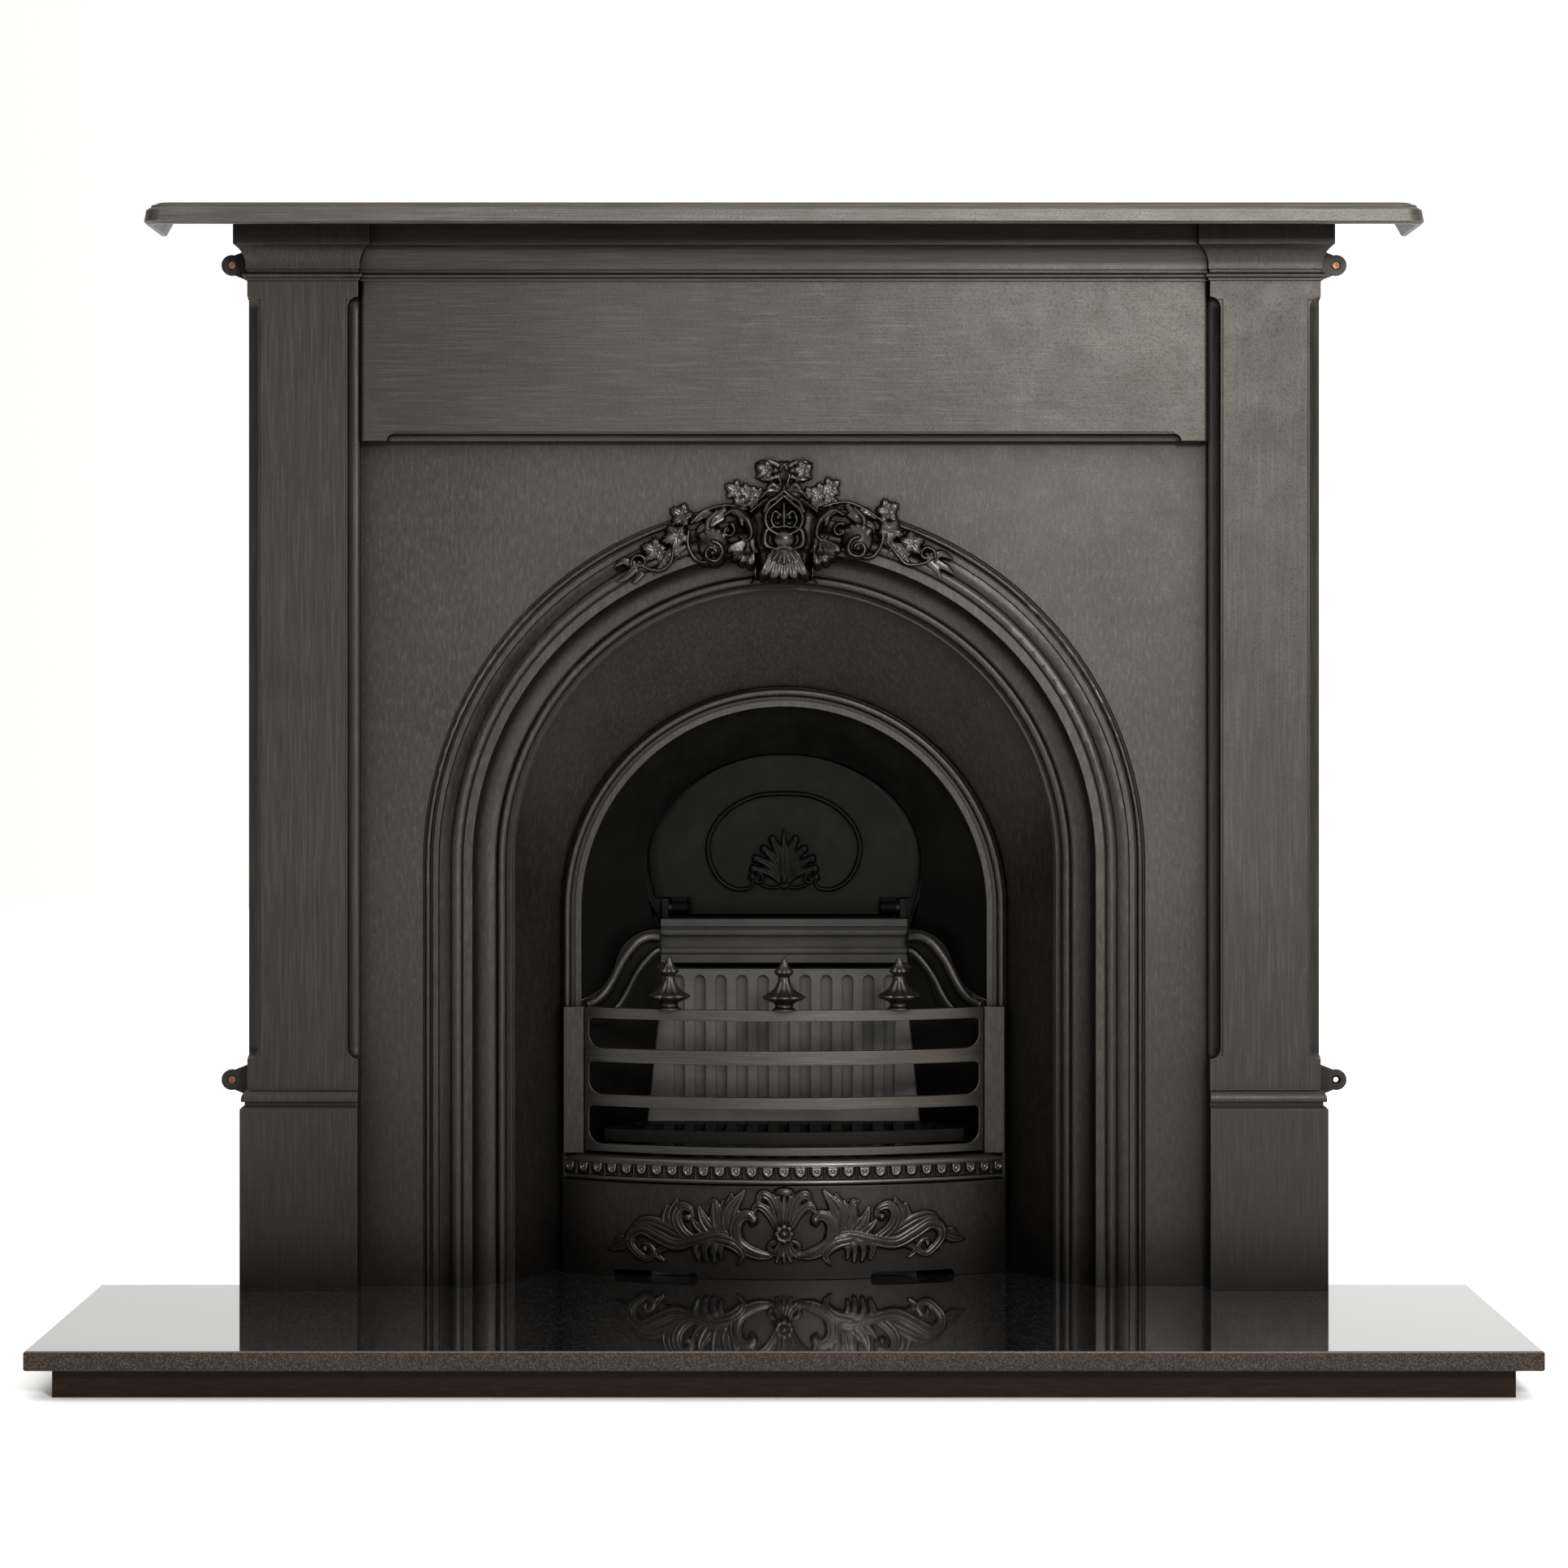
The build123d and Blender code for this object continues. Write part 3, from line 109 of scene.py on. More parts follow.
class Shader(Nodes):
    """A material with one Principled surface."""

    def __init__(self, name):
        self.material = bpy.data.materials.new(name)
        self.material.use_nodes = True
        super().__init__(self.material.node_tree)
        self.tree.nodes.clear()
        self.surface = self.add("ShaderNodeBsdfPrincipled")
        output = self.add("ShaderNodeOutputMaterial")
        self.link(self.surface.outputs["BSDF"], output.inputs["Surface"])
        self.place = self.add("ShaderNodeTexCoord").outputs["Object"]

    def stretched(self, scale):
        node = self.add("ShaderNodeMapping")
        self.link(self.place, node.inputs["Vector"])
        node.inputs["Scale"].default_value = scale
        return node.outputs["Vector"]

    def noise(self, scale, detail=2.0, rough=0.5, stretch=None, twist=0.0):
        node = self.add("ShaderNodeTexNoise")
        self.link(self.stretched(stretch) if stretch else self.place, node.inputs["Vector"])
        node.inputs["Scale"].default_value = scale
        node.inputs["Detail"].default_value = detail
        node.inputs["Roughness"].default_value = rough
        node.inputs["Distortion"].default_value = twist
        return node.outputs["Fac"]

    def cells(self, scale, output="Distance"):
        node = self.add("ShaderNodeTexVoronoi")
        self.link(self.place, node.inputs["Vector"])
        node.inputs["Scale"].default_value = scale
        return node.outputs[output]

    def mix(self, factor, first, second, kind="RGBA"):
        node = self.add("ShaderNodeMix")
        node.data_type = kind
        self.link(factor, node.inputs["Factor"])
        self.put(first, node.inputs["A"])
        self.put(second, node.inputs["B"])
        return node.outputs["Result"]

    def attribute(self, name):
        node = self.add("ShaderNodeAttribute")
        node.attribute_name = name
        return node.outputs["Fac"]

    def rounded(self, radius):
        """The normal with every sharp edge rounded to a radius in metres."""
        node = self.add("ShaderNodeBevel")
        node.samples = 4
        node.inputs["Radius"].default_value = radius
        return node.outputs["Normal"]

    def edges(self, normal, reach):
        """1 on rounded edges and 0 on the faces between them."""
        geometry = self.add("ShaderNodeNewGeometry")
        dot = self.add("ShaderNodeVectorMath")
        dot.operation = "DOT_PRODUCT"
        self.link(normal, dot.inputs[0])
        self.link(geometry.outputs["True Normal"], dot.inputs[1])
        return self.span(dot.outputs["Value"], 1.0, 1.0 - reach)

    def openness(self, reach):
        """1 on open faces, falling towards 0 in corners and under ledges."""
        node = self.add("ShaderNodeAmbientOcclusion")
        node.samples = 4
        node.inputs["Distance"].default_value = reach
        return node.outputs["AO"]

    def bump(self, height, distance, strength=1.0, normal=None):
        node = self.add("ShaderNodeBump")
        self.link(height, node.inputs["Height"])
        node.inputs["Distance"].default_value = distance
        node.inputs["Strength"].default_value = strength
        if normal is not None:
            self.link(normal, node.inputs["Normal"])
        return node.outputs["Normal"]

    def finish(self, color, roughness, normal, metallic=0.0):
        for value, socket in ((color, "Base Color"), (roughness, "Roughness"), (metallic, "Metallic")):
            self.put(value, self.surface.inputs[socket])
        self.link(normal, self.surface.inputs["Normal"])
        return self.material


def tone(color, factor):
    return (color[0] * factor, color[1] * factor, color[2] * factor, 1.0)


def cast_iron(name, color, sheen, streak=(1, 1, 1), coarse=1.0, soot=0.0, painted_low_shade=(0.05, 0.5, 0.45)):
    """Graphite-polished cast iron: a grainy casting, brushed streaks and rubbed bright edges, with painted
    highlight on the crests of relief and painted shade in hollows, in corners and towards the bottom.

    The last argument gives the heights in metres between which painted shade darkens the iron towards
    the bottom, and how far it darkens."""
    s = Shader(name)
    cloud = s.noise(4.5, 3, 0.55)
    patina = s.noise(22, 6, 0.62, twist=0.6)
    brushed = s.noise(26, 6, 0.7, stretch=streak)
    skin = s.noise(520, 3, 0.65)
    grain = s.noise(1500, 2, 0.6)
    hollow = s.attribute("cavity")

    body = s.mix(s.span(cloud, 0.32, 0.7), tone(color, 0.94), tone(color, 1.18))
    warm = (color[0] * 1.12, color[1] * 1.0, color[2] * 0.88, 1.0)
    body = s.mix(s.span(patina, 0.46, 0.78, 0.0, 0.25), body, warm)
    body = s.mix(s.span(brushed, 0.5, 0.72, 0.0, 0.7), body, tone(color, 1.9))
    body = s.mix(s.span(brushed, 0.46, 0.3, 0.0, 0.5), body, tone(color, 0.55))
    # Painted shade: the iron darkens towards the bottom, where less light falls.
    body = s.mix(s.span(s.axes(s.place)["Z"], painted_low_shade[1], painted_low_shade[0], 0.0, painted_low_shade[2]), body, tone(color, 0.3))
    # Painted shade: the iron darkens in corners, creases and under ledges.
    body = s.mix(s.span(s.openness(0.08), 0.96, 0.5, 0.0, 0.88), body, tone(color, 0.2))
    body = s.mix(s.span(skin, 0.56, 0.75, 0.0, 0.35), body, tone(color, 0.45))
    rounded = s.rounded(0.0011)
    # Edges are rubbed bright by wear; the crests of relief get a painted highlight. Soot dulls both.
    rubbed_and_highlit = s.maths("MULTIPLY", s.edges(rounded, 0.22), s.span(patina, 0.3, 0.62, 0.35, 1.0))
    highlit_ridge = s.span(hollow, 0.15, 1.0, 0.0, 0.3)
    rubbed_and_highlit = s.maths("MAXIMUM", rubbed_and_highlit, highlit_ridge)
    body = s.mix(s.maths("MULTIPLY", rubbed_and_highlit, 0.7 - 0.5 * soot), body, tone(color, 2.3))
    # Painted shade in the hollows of relief and round its foot.
    body = s.mix(s.span(hollow, -0.05, -0.6, 0.0, 0.9), body, tone(color, 0.16))

    low, high = sheen
    rough = s.span(s.maths("ADD", patina, brushed), 0.7, 1.3, low, high)
    rough = s.maths("SUBTRACT", rough, s.maths("MULTIPLY", rubbed_and_highlit, 0.09))
    rough = s.maths("ADD", rough, s.span(skin, 0.5, 0.75, 0.0, 0.1))

    normal = s.bump(patina, 0.0003 * coarse, 0.3, rounded)
    normal = s.bump(skin, 0.00022 * coarse, 0.5, normal)
    normal = s.bump(grain, 0.00008 * coarse, 0.5, normal)
    normal = s.bump(brushed, 0.00016, 0.35, normal)
    return s.finish(body, rough, normal, metallic=0.92)


def granite(name):
    """Black granite with sparse flecks: mirror polish on top, a dull brown sawn edge."""
    s = Shader(name)
    split = s.add("ShaderNodeSeparateColor")
    s.link(s.cells(420, "Color"), split.inputs["Color"])
    cloud = s.noise(9, 4)
    dust = s.noise(700, 4, 0.7)
    body = s.mix(s.span(split.outputs["Red"], 0.2, 0.95), (0.0035, 0.0036, 0.004, 1),
                 (0.012, 0.012, 0.0125, 1))
    body = s.mix(s.span(split.outputs["Green"], 0.86, 0.98, 0.0, 0.7), body, (0.045, 0.043, 0.04, 1))
    body = s.mix(s.span(split.outputs["Blue"], 0.92, 0.99, 0.0, 0.6), body, (0.06, 0.042, 0.026, 1))
    body = s.mix(s.span(s.cells(900), 0.14, 0.02, 0.0, 0.6), body, (0.08, 0.08, 0.078, 1))
    facing = s.axes(s.add("ShaderNodeNewGeometry").outputs["True Normal"])
    polish = s.span(facing["Z"], 0.5, 0.9)
    sawn = s.mix(s.span(dust, 0.48, 0.72), (0.014, 0.0085, 0.006, 1), (0.1, 0.082, 0.066, 1))
    body = s.mix(polish, sawn, body)
    rounded = s.rounded(0.0012)
    rough = s.mix(polish, 0.5, s.span(cloud, 0.3, 0.7, 0.03, 0.055), "FLOAT")
    rough = s.maths("ADD", rough, s.maths("MULTIPLY", s.edges(rounded, 0.3), 0.1))
    normal = s.bump(s.noise(60, 2), 0.00002, 0.3, rounded)
    s.surface.inputs["IOR"].default_value = 1.62
    s.link(s.span(polish, 0.0, 1.0, 0.12, 0.5), s.surface.inputs["Specular IOR Level"])
    s.link(s.span(polish, 0.0, 1.0, 0.0, 0.62), s.surface.inputs["Coat Weight"])
    s.surface.inputs["Coat Roughness"].default_value = 0.03
    s.surface.inputs["Coat IOR"].default_value = 1.5
    return s.finish(body, rough, normal)


def honed_granite(name):
    """The risers: honed brown stone with faint level streaks."""
    s = Shader(name)
    streak = s.noise(30, 5, 0.65, stretch=(1.2, 1.2, 16))
    crystals = s.cells(480)
    cloud = s.noise(7, 3)
    body = s.mix(s.span(streak, 0.35, 0.72), (0.0085, 0.0045, 0.003, 1), (0.021, 0.0115, 0.0078, 1))
    body = s.mix(s.span(crystals, 0.28, 0.05, 0.0, 0.4), body, (0.034, 0.022, 0.016, 1))
    body = s.mix(s.span(cloud, 0.5, 0.8, 0.0, 0.4), body, (0.008, 0.005, 0.004, 1))
    rough = s.span(streak, 0.3, 0.75, 0.4, 0.6)
    normal = s.bump(crystals, 0.00012, 0.4, s.rounded(0.0009))
    s.surface.inputs["Specular IOR Level"].default_value = 0.08
    return s.finish(body, rough, normal)


def firebrick(name, shade=1.0):
    """Matt grey refractory with pits and scuffs, and painted shade in its flutes and corners."""
    s = Shader(name)
    pores = s.cells(330)
    cloud = s.noise(14, 5, 0.6)
    grit = s.noise(900, 3, 0.7)
    body = s.mix(s.span(cloud, 0.3, 0.72), tone((0.056, 0.055, 0.052), shade),
                 tone((0.104, 0.102, 0.096), shade))
    body = s.mix(s.span(grit, 0.5, 0.8, 0.0, 0.4), body, tone((0.145, 0.142, 0.134), shade))
    body = s.mix(s.span(pores, 0.16, 0.03, 0.0, 0.8), body, (0.012, 0.012, 0.012, 1))
    rounded = s.rounded(0.0016)
    # Painted shade: the brick darkens in flutes and corners.
    body = s.mix(s.span(s.openness(0.012), 0.9, 0.45, 0.0, 0.85), body, (0.012, 0.012, 0.0115, 1))
    body = s.mix(s.maths("MULTIPLY", s.edges(rounded, 0.25), 0.5), body, tone((0.165, 0.162, 0.154), shade))
    normal = s.bump(s.span(pores, 0.0, 0.25), 0.0006, 0.5, rounded)
    normal = s.bump(grit, 0.0003, 0.6, normal)
    rough = s.span(grit, 0.3, 0.7, 0.62, 0.85)
    s.surface.inputs["Specular IOR Level"].default_value = 0.25
    return s.finish(body, rough, normal)


def concrete(name):
    s = Shader(name)
    cloud = s.noise(12, 6, 0.65)
    stones = s.cells(110)
    body = s.mix(s.span(cloud, 0.3, 0.7), (0.26, 0.25, 0.235, 1), (0.42, 0.41, 0.385, 1))
    body = s.mix(s.span(stones, 0.12, 0.02, 0.0, 0.7), body, (0.14, 0.135, 0.13, 1))
    normal = s.bump(cloud, 0.002, 0.6)
    normal = s.bump(s.noise(700, 3), 0.0004, 0.6, normal)
    return s.finish(body, s.span(cloud, 0.2, 0.8, 0.8, 0.95), normal)


def turned_metal(name, color, dull, sheen):
    """Small bright hardware: fine machining lines, tarnish and rubbed edges."""
    s = Shader(name)
    tarnish = s.noise(160, 5, 0.65)
    lines = s.noise(900, 3, stretch=(1, 1, 7))
    rounded = s.rounded(0.0003)
    body = s.mix(s.span(tarnish, 0.4, 0.7), tone(color, 1.0), tone(dull, 1.0))
    body = s.mix(s.maths("MULTIPLY", s.edges(rounded, 0.25), 0.6), body, tone(color, 1.35))
    rough = s.span(tarnish, 0.3, 0.7, *sheen)
    normal = s.bump(lines, 0.00004, 0.5, rounded)
    return s.finish(body, rough, normal, metallic=1.0)


def stove_paint(name):
    """Black stove paint on folded sheet, with dusty ash in the low places and bare scuffs."""
    s = Shader(name)
    dust = s.noise(35, 6, 0.65)
    scuffs = s.noise(90, 4, 0.6, stretch=(1, 7, 7))
    rounded = s.rounded(0.0006)
    body = s.mix(s.span(dust, 0.5, 0.8, 0.0, 0.4), (0.004, 0.004, 0.004, 1), (0.016, 0.0155, 0.015, 1))
    body = s.mix(s.span(scuffs, 0.66, 0.74, 0.0, 0.5), body, (0.16, 0.155, 0.15, 1))
    body = s.mix(s.maths("MULTIPLY", s.edges(rounded, 0.3), 0.6), body, (0.2, 0.19, 0.185, 1))
    normal = s.bump(s.noise(1200, 2), 0.00006, 0.6, rounded)
    return s.finish(body, s.span(dust, 0.3, 0.7, 0.4, 0.75), normal)


LEVEL, UPRIGHT = (0.5, 0.5, 20.0), (16.0, 16.0, 0.6)
IRON = (0.046, 0.0425, 0.039)
FINISHES = {
    "mantel_iron": cast_iron("mantel_iron", tone(IRON, 0.86), (0.38, 0.5), UPRIGHT),
    # Painted light: the shelf is the same iron painted over twice as light as the mantel, for the light on
    # its front.
    "shelf_iron": cast_iron("shelf_iron", tone(IRON, 2.0), (0.36, 0.5), LEVEL, coarse=1.8),
    "insert_iron": cast_iron("insert_iron", tone(IRON, 0.97), (0.36, 0.48), (11, 11, 3)),
    "ornament_iron": cast_iron("ornament_iron", tone(IRON, 0.92), (0.26, 0.38)),
    # Sooty iron, painted darker still as the shade deep inside the fire chamber.
    "chamber_iron": cast_iron("chamber_iron", (0.0125, 0.0125, 0.0117), (0.42, 0.56), soot=0.5),
    # Painted light: the bars, finials and knob are the same iron painted about twice as light as the mantel.
    "grate_iron": cast_iron("grate_iron", tone(IRON, 1.75), (0.3, 0.42), LEVEL),
    "firebrick": firebrick("firebrick"),
    "granite": granite("granite"),
    "granite_riser": honed_granite("granite_riser"),
    "concrete": concrete("concrete"),
    "brass": turned_metal("brass", (0.26, 0.13, 0.075), (0.12, 0.06, 0.035), (0.45, 0.6)),
    "steel": turned_metal("steel", (0.42, 0.42, 0.41), (0.24, 0.235, 0.23), (0.28, 0.5)),
    "pan_steel": stove_paint("pan_steel"),
}
# Painted shade: the damper is painted darker than the chamber's iron, for the shade deep in the chamber.
DAMPER_IRON = cast_iron("damper_iron", (0.0055, 0.0055, 0.0051), (0.44, 0.56), soot=0.5)
SOOTED_IRON = cast_iron("sooted_iron", (0.0035, 0.0035, 0.0034), (0.6, 0.75), soot=1.3)
# Painted light: the ledge is the same iron painted far lighter than the mantel, for the light on it.
LEDGE_IRON = cast_iron("ledge_iron", tone(IRON, 2.3), (0.26, 0.38), LEVEL)
OWN_FINISHES = {
    "frieze": cast_iron("frieze_iron", tone(IRON, 0.94), (0.36, 0.46), LEVEL),
    "throat_lintel": firebrick("sooty_brick", 0.42),
    "bottom_grate": cast_iron("burnt_iron", (0.02, 0.0195, 0.019), (0.45, 0.6), soot=0.4),
    # Painted shade: the hood's iron darkens low down, which also dims the lamp's reflection there.
    "smoke_hood": cast_iron("hood_iron", (0.0165, 0.0165, 0.0153), (0.46, 0.6), soot=1.3,
                            painted_low_shade=(0.475, 0.64, 0.95)),
    "damper_pins": turned_metal("sooty_steel", (0.03, 0.03, 0.03), (0.012, 0.012, 0.012), (0.5, 0.7)),
}

for subpart in frame["record"]["subparts"]:
    shown = frame["nodes"][subpart["node"]]
    finish = OWN_FINISHES.get(subpart["node"], FINISHES[subpart["material_slot"]])
    shown.data.materials.clear()
    shown.data.materials.append(finish)


# ---- mesh helpers -------------------------------------------------------------------------
def piece(name, points, faces, body, slot, replaced=(), finish=None):
    """Adds a smooth-shaded mesh from points (x, p, z) in millimetres and lets it ride on a body."""
    points = np.asarray(points, float)
    places = np.column_stack((points[:, 0] * MM, WALL_Y - points[:, 1] * MM, points[:, 2] * MM))
    mesh = bpy.data.meshes.new(name)
    mesh.from_pydata(places.tolist(), [], [list(map(int, face)) for face in faces])
    mesh.materials.append(finish or FINISHES[slot])
    mesh.validate()
    mesh.shade_smooth()
    made = bpy.data.objects.new(name, mesh)
    scene.collection.objects.link(made)
    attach(made, body)
    if replaced:
        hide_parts(*replaced)
    return made


def grid_faces(rows, columns, close_rows=False, close_columns=False):
    """Quads over a grid of points numbered row by row."""
    faces = []
    for j in range(rows if close_rows else rows - 1):
        for i in range(columns if close_columns else columns - 1):
            j1, i1 = (j + 1) % rows, (i + 1) % columns
            faces.append((j * columns + i, j * columns + i1, j1 * columns + i1, j1 * columns + i))
    return faces


def capped_rings(rings, sides):
    """Faces over a stack of closed rings, with a cap at both ends."""
    first = (rings - 1) * sides
    return [*grid_faces(rings, sides, close_columns=True), tuple(range(sides))[::-1],
            tuple(range(first, first + sides))]


def closed_plate(x, z, front, back):
    """Points and faces of a closed plate over a grid, between a front and a back surface in p."""
    rows, columns = x.shape
    total = rows * columns
    points = [np.column_stack((x.ravel(), side.ravel(), z.ravel())) for side in (front, back)]
    faces = grid_faces(rows, columns)
    faces += [tuple(v + total for v in face[::-1]) for face in faces]
    rim = [*range(columns), *range(2 * columns - 1, total, columns),
           *range(total - 2, total - columns - 1, -1), *range(total - 2 * columns, 0, -columns)]
    for a, b in zip(rim, rim[1:] + rim[:1]):
        faces.append((b, a, a + total, b + total))
    return np.concatenate(points), faces


def lowest_corner(height):
    """The lowest of the four corners of each cell of a grid."""
    return np.minimum(np.minimum(height[:-1, :-1], height[1:, 1:]),
                      np.minimum(height[:-1, 1:], height[1:, :-1]))


def rounding(gap, soft):
    """How far a softly rounded edge of that radius falls back at a distance from the edge."""
    inner = np.clip(soft - gap, 0, soft)
    return soft - np.sqrt(soft ** 2 - inner ** 2)


def sheet_solid(x, z, front, back, kept):
    """Points and faces of a closed body over the kept cells of a grid, from front to back in p."""
    rows, columns = x.shape
    used = np.zeros((rows, columns), bool)
    for dj in (0, 1):
        for di in (0, 1):
            used[dj:rows - 1 + dj, di:columns - 1 + di] |= kept
    number = np.full((rows, columns), -1)
    number[used] = np.arange(used.sum())
    count = int(used.sum())
    points = np.concatenate([
        np.column_stack((x[used], front[used], z[used])),
        np.column_stack((x[used], back[used], z[used])),
    ])
    corner = [number[:-1, :-1], number[:-1, 1:], number[1:, 1:], number[1:, :-1]]
    fronts = np.stack([c[kept] for c in corner], axis=1)
    faces = [fronts, fronts[:, ::-1] + count]
    beyond = np.pad(kept, 1)
    neighbours = (beyond[:-2, 1:-1], beyond[1:-1, 2:], beyond[2:, 1:-1], beyond[1:-1, :-2])
    for side, neighbour in enumerate(neighbours):
        edge = kept & ~neighbour
        a, b = corner[side][edge], corner[(side + 1) % 4][edge]
        faces.append(np.stack([b, a, a + count, b + count], axis=1))
    return points, np.concatenate(faces), used


def set_cavity(made, values):
    """Stores how proud (+) or hollow (-) each point is, for the shader, which paints highlight on proud
    points and shade in hollows.
    """
    attribute = made.data.attributes.new("cavity", "FLOAT", "POINT")
    attribute.data.foreach_set("value", np.asarray(values, np.float32))


def blurred(field, radius):
    """Box blur, three times over, of a 2-D array."""
    for _ in range(3):
        for axis in (0, 1):
            padded = np.concatenate([np.repeat(np.take(field, [0], axis), radius + 1, axis), field,
                                     np.repeat(np.take(field, [-1], axis), radius, axis)], axis)
            total = np.cumsum(padded, axis)
            size = field.shape[axis]
            high = np.take(total, np.arange(2 * radius + 1, 2 * radius + 1 + size), axis)
            low = np.take(total, np.arange(size), axis)
            field = (high - low) / (2 * radius + 1)
    return field


def smooth_path(points, count=44):
    """Points along a Catmull-Rom curve through the given ones."""
    knots = np.asarray(points, float)
    if len(knots) == 2:
        return knots[0] + np.linspace(0, 1, count)[:, None] * (knots[1] - knots[0])
    ends = np.vstack([2 * knots[0] - knots[1], knots, 2 * knots[-1] - knots[-2]])
    place = np.linspace(0, len(knots) - 1, count)
    index = np.minimum(place.astype(int), len(knots) - 2)
    t = (place - index)[:, None]
    a, b, c, d = (ends[index + k] for k in range(4))
    square, cube = 2 * a - 5 * b + 4 * c - d, 3 * b - a - 3 * c + d
    return 0.5 * (2 * b + (c - a) * t + square * t ** 2 + cube * t ** 3)


MID, VEINS = (0.0,), (-0.35, 0.35)


class Relief:
    """Cast relief seen from the front: strokes, balls and leaves raise a height field."""

    def __init__(self, low, high, pitch, steep=5.0):
        self.pitch = pitch
        self.steep = steep
        self.x, self.z = np.meshgrid(np.arange(low[0], high[0] + pitch, pitch),
                                     np.arange(low[1], high[1] + pitch, pitch))
        self.height = np.full(self.x.shape, -60.0)

    def window(self, low, high):
        """The part of the grid between two corners, with its x and z."""
        part = []
        for axis, first in ((1, self.z[0, 0]), (0, self.x[0, 0])):
            start, stop = int((low[axis] - first) / self.pitch), int((high[axis] - first) / self.pitch) + 2
            part.append(slice(max(0, start), max(0, stop)))
        part = tuple(part)
        return part, self.x[part], self.z[part]

    def raise_to(self, part, value):
        self.height[part] = np.maximum(self.height[part], value)

    def stroke(self, points, width, height, lift=0.0, blunt=2.0, dish=0.0, lines=(), count=44):
        """A tapering leaf or stem along a curve. Widths and heights are listed from root to tip."""
        path = smooth_path(points, count)
        s = np.linspace(0, 1, count)
        half = np.interp(s, np.linspace(0, 1, len(width)), width) / 2
        top = np.interp(s, np.linspace(0, 1, len(height)), height)
        reach = half.max() + 5
        part, gx, gz = self.window(path.min(0) - reach, path.max(0) + reach)
        dx, dz = gx[..., None] - path[:, 0], gz[..., None] - path[:, 1]
        distances = dx ** 2 + dz ** 2
        nearest = distances.argmin(-1)
        distance = np.sqrt(np.take_along_axis(distances, nearest[..., None], -1)[..., 0])
        along = np.gradient(path, axis=0)
        along /= np.linalg.norm(along, axis=1)[:, None] + 1e-9
        tangent = along[nearest]
        pick = nearest[..., None]
        across = (tangent[..., 0] * np.take_along_axis(dz, pick, -1)[..., 0]
                  - tangent[..., 1] * np.take_along_axis(dx, pick, -1)[..., 0])
        wide, tall = half[nearest], top[nearest]
        u = np.clip(distance / wide, 0, 1)
        value = tall * np.sqrt(1 - u ** blunt)
        value -= dish * tall * np.exp(-(u / 0.5) ** 2)
        for line in lines:
            value -= 0.9 * np.exp(-((across - line * wide) / 0.55) ** 2) * (wide > 1.2)
        outside = distance > wide
        value = np.where(outside, -(distance - wide) * self.steep, value)
        self.raise_to(part, lift + value)

    def pair(self, points, *shape, **more):
        """The same stroke on the right and, mirrored, on the left."""
        for side in (-1, 1):
            self.stroke([(side * x, z) for x, z in points], *shape, **more)

    def balls(self, x, *shape, **more):
        for side in (-1, 1):
            self.ball(side * x, *shape, **more)

    def ball(self, x, z, radius, height, lift=0.0, flat=1.0):
        part, gx, gz = self.window((x - radius - 4, z - radius - 4), (x + radius + 4, z + radius + 4))
        distance = np.hypot(gx - x, (gz - z) / flat)
        u = np.clip(distance / radius, 0, 1)
        value = np.where(distance > radius, -(distance - radius) * self.steep, height * np.sqrt(1 - u ** 2))
        self.raise_to(part, lift + value)

    def volute(self, x, z, radius, turns, start, hand, width, height, lift=0.0):
        """A spiral scroll from an outer angle in degrees, ending in a ball."""
        ball, t = 0.3, np.linspace(0, 1, 60)
        angle = np.radians(start + hand * 360 * turns * t)
        reach = radius * (1 - t * (1 - ball * 0.9))
        points = np.column_stack((x + reach * np.cos(angle), z + reach * np.sin(angle)))
        self.stroke(points, width, height, lift, count=60)
        self.ball(x, z, radius * ball * 1.25, max(height) * 1.15, lift)

    def leaf(self, x, z, radius, heading, height, lift=0.0, notch=0.3):
        """A vine leaf: pointed lobes round a centre, with a vein down each."""
        lobes, cup, reach = 5, 0.2, radius * 1.15 + 4
        part, gx, gz = self.window((x - reach, z - reach), (x + reach, z + reach))
        dx, dz = gx - x, gz - z
        distance = np.hypot(dx, dz)
        angle = np.arctan2(dz, dx) - radians(heading)
        turn = np.angle(np.exp(1j * angle))
        radius = radius * 1.16
        step = 2 * pi / lobes
        offset = (turn + step / 2) % step - step / 2
        point = 1 - np.abs(offset) / (step / 2)
        jag = 0.05 * np.cos(offset * lobes * 4)
        size = 1 - 0.22 * (1 - np.cos(turn)) / 2
        edge = radius * size * (1 - notch + notch * point ** 0.8 + jag)
        u = np.clip(distance / edge, 0, 1)
        value = height * np.sqrt(1 - u ** 5) * (1 - cup + cup * u)
        value += 0.14 * height * np.cos(offset * lobes) * u
        vein = np.abs(distance * np.sin(offset))
        value -= 0.8 * np.exp(-(vein / 0.55) ** 2) * (u < 0.9) * (distance > 1.2)
        outside = distance > edge
        value = np.where(outside, -(distance - edge) * self.steep * 0.7, value)
        self.raise_to(part, lift + value)

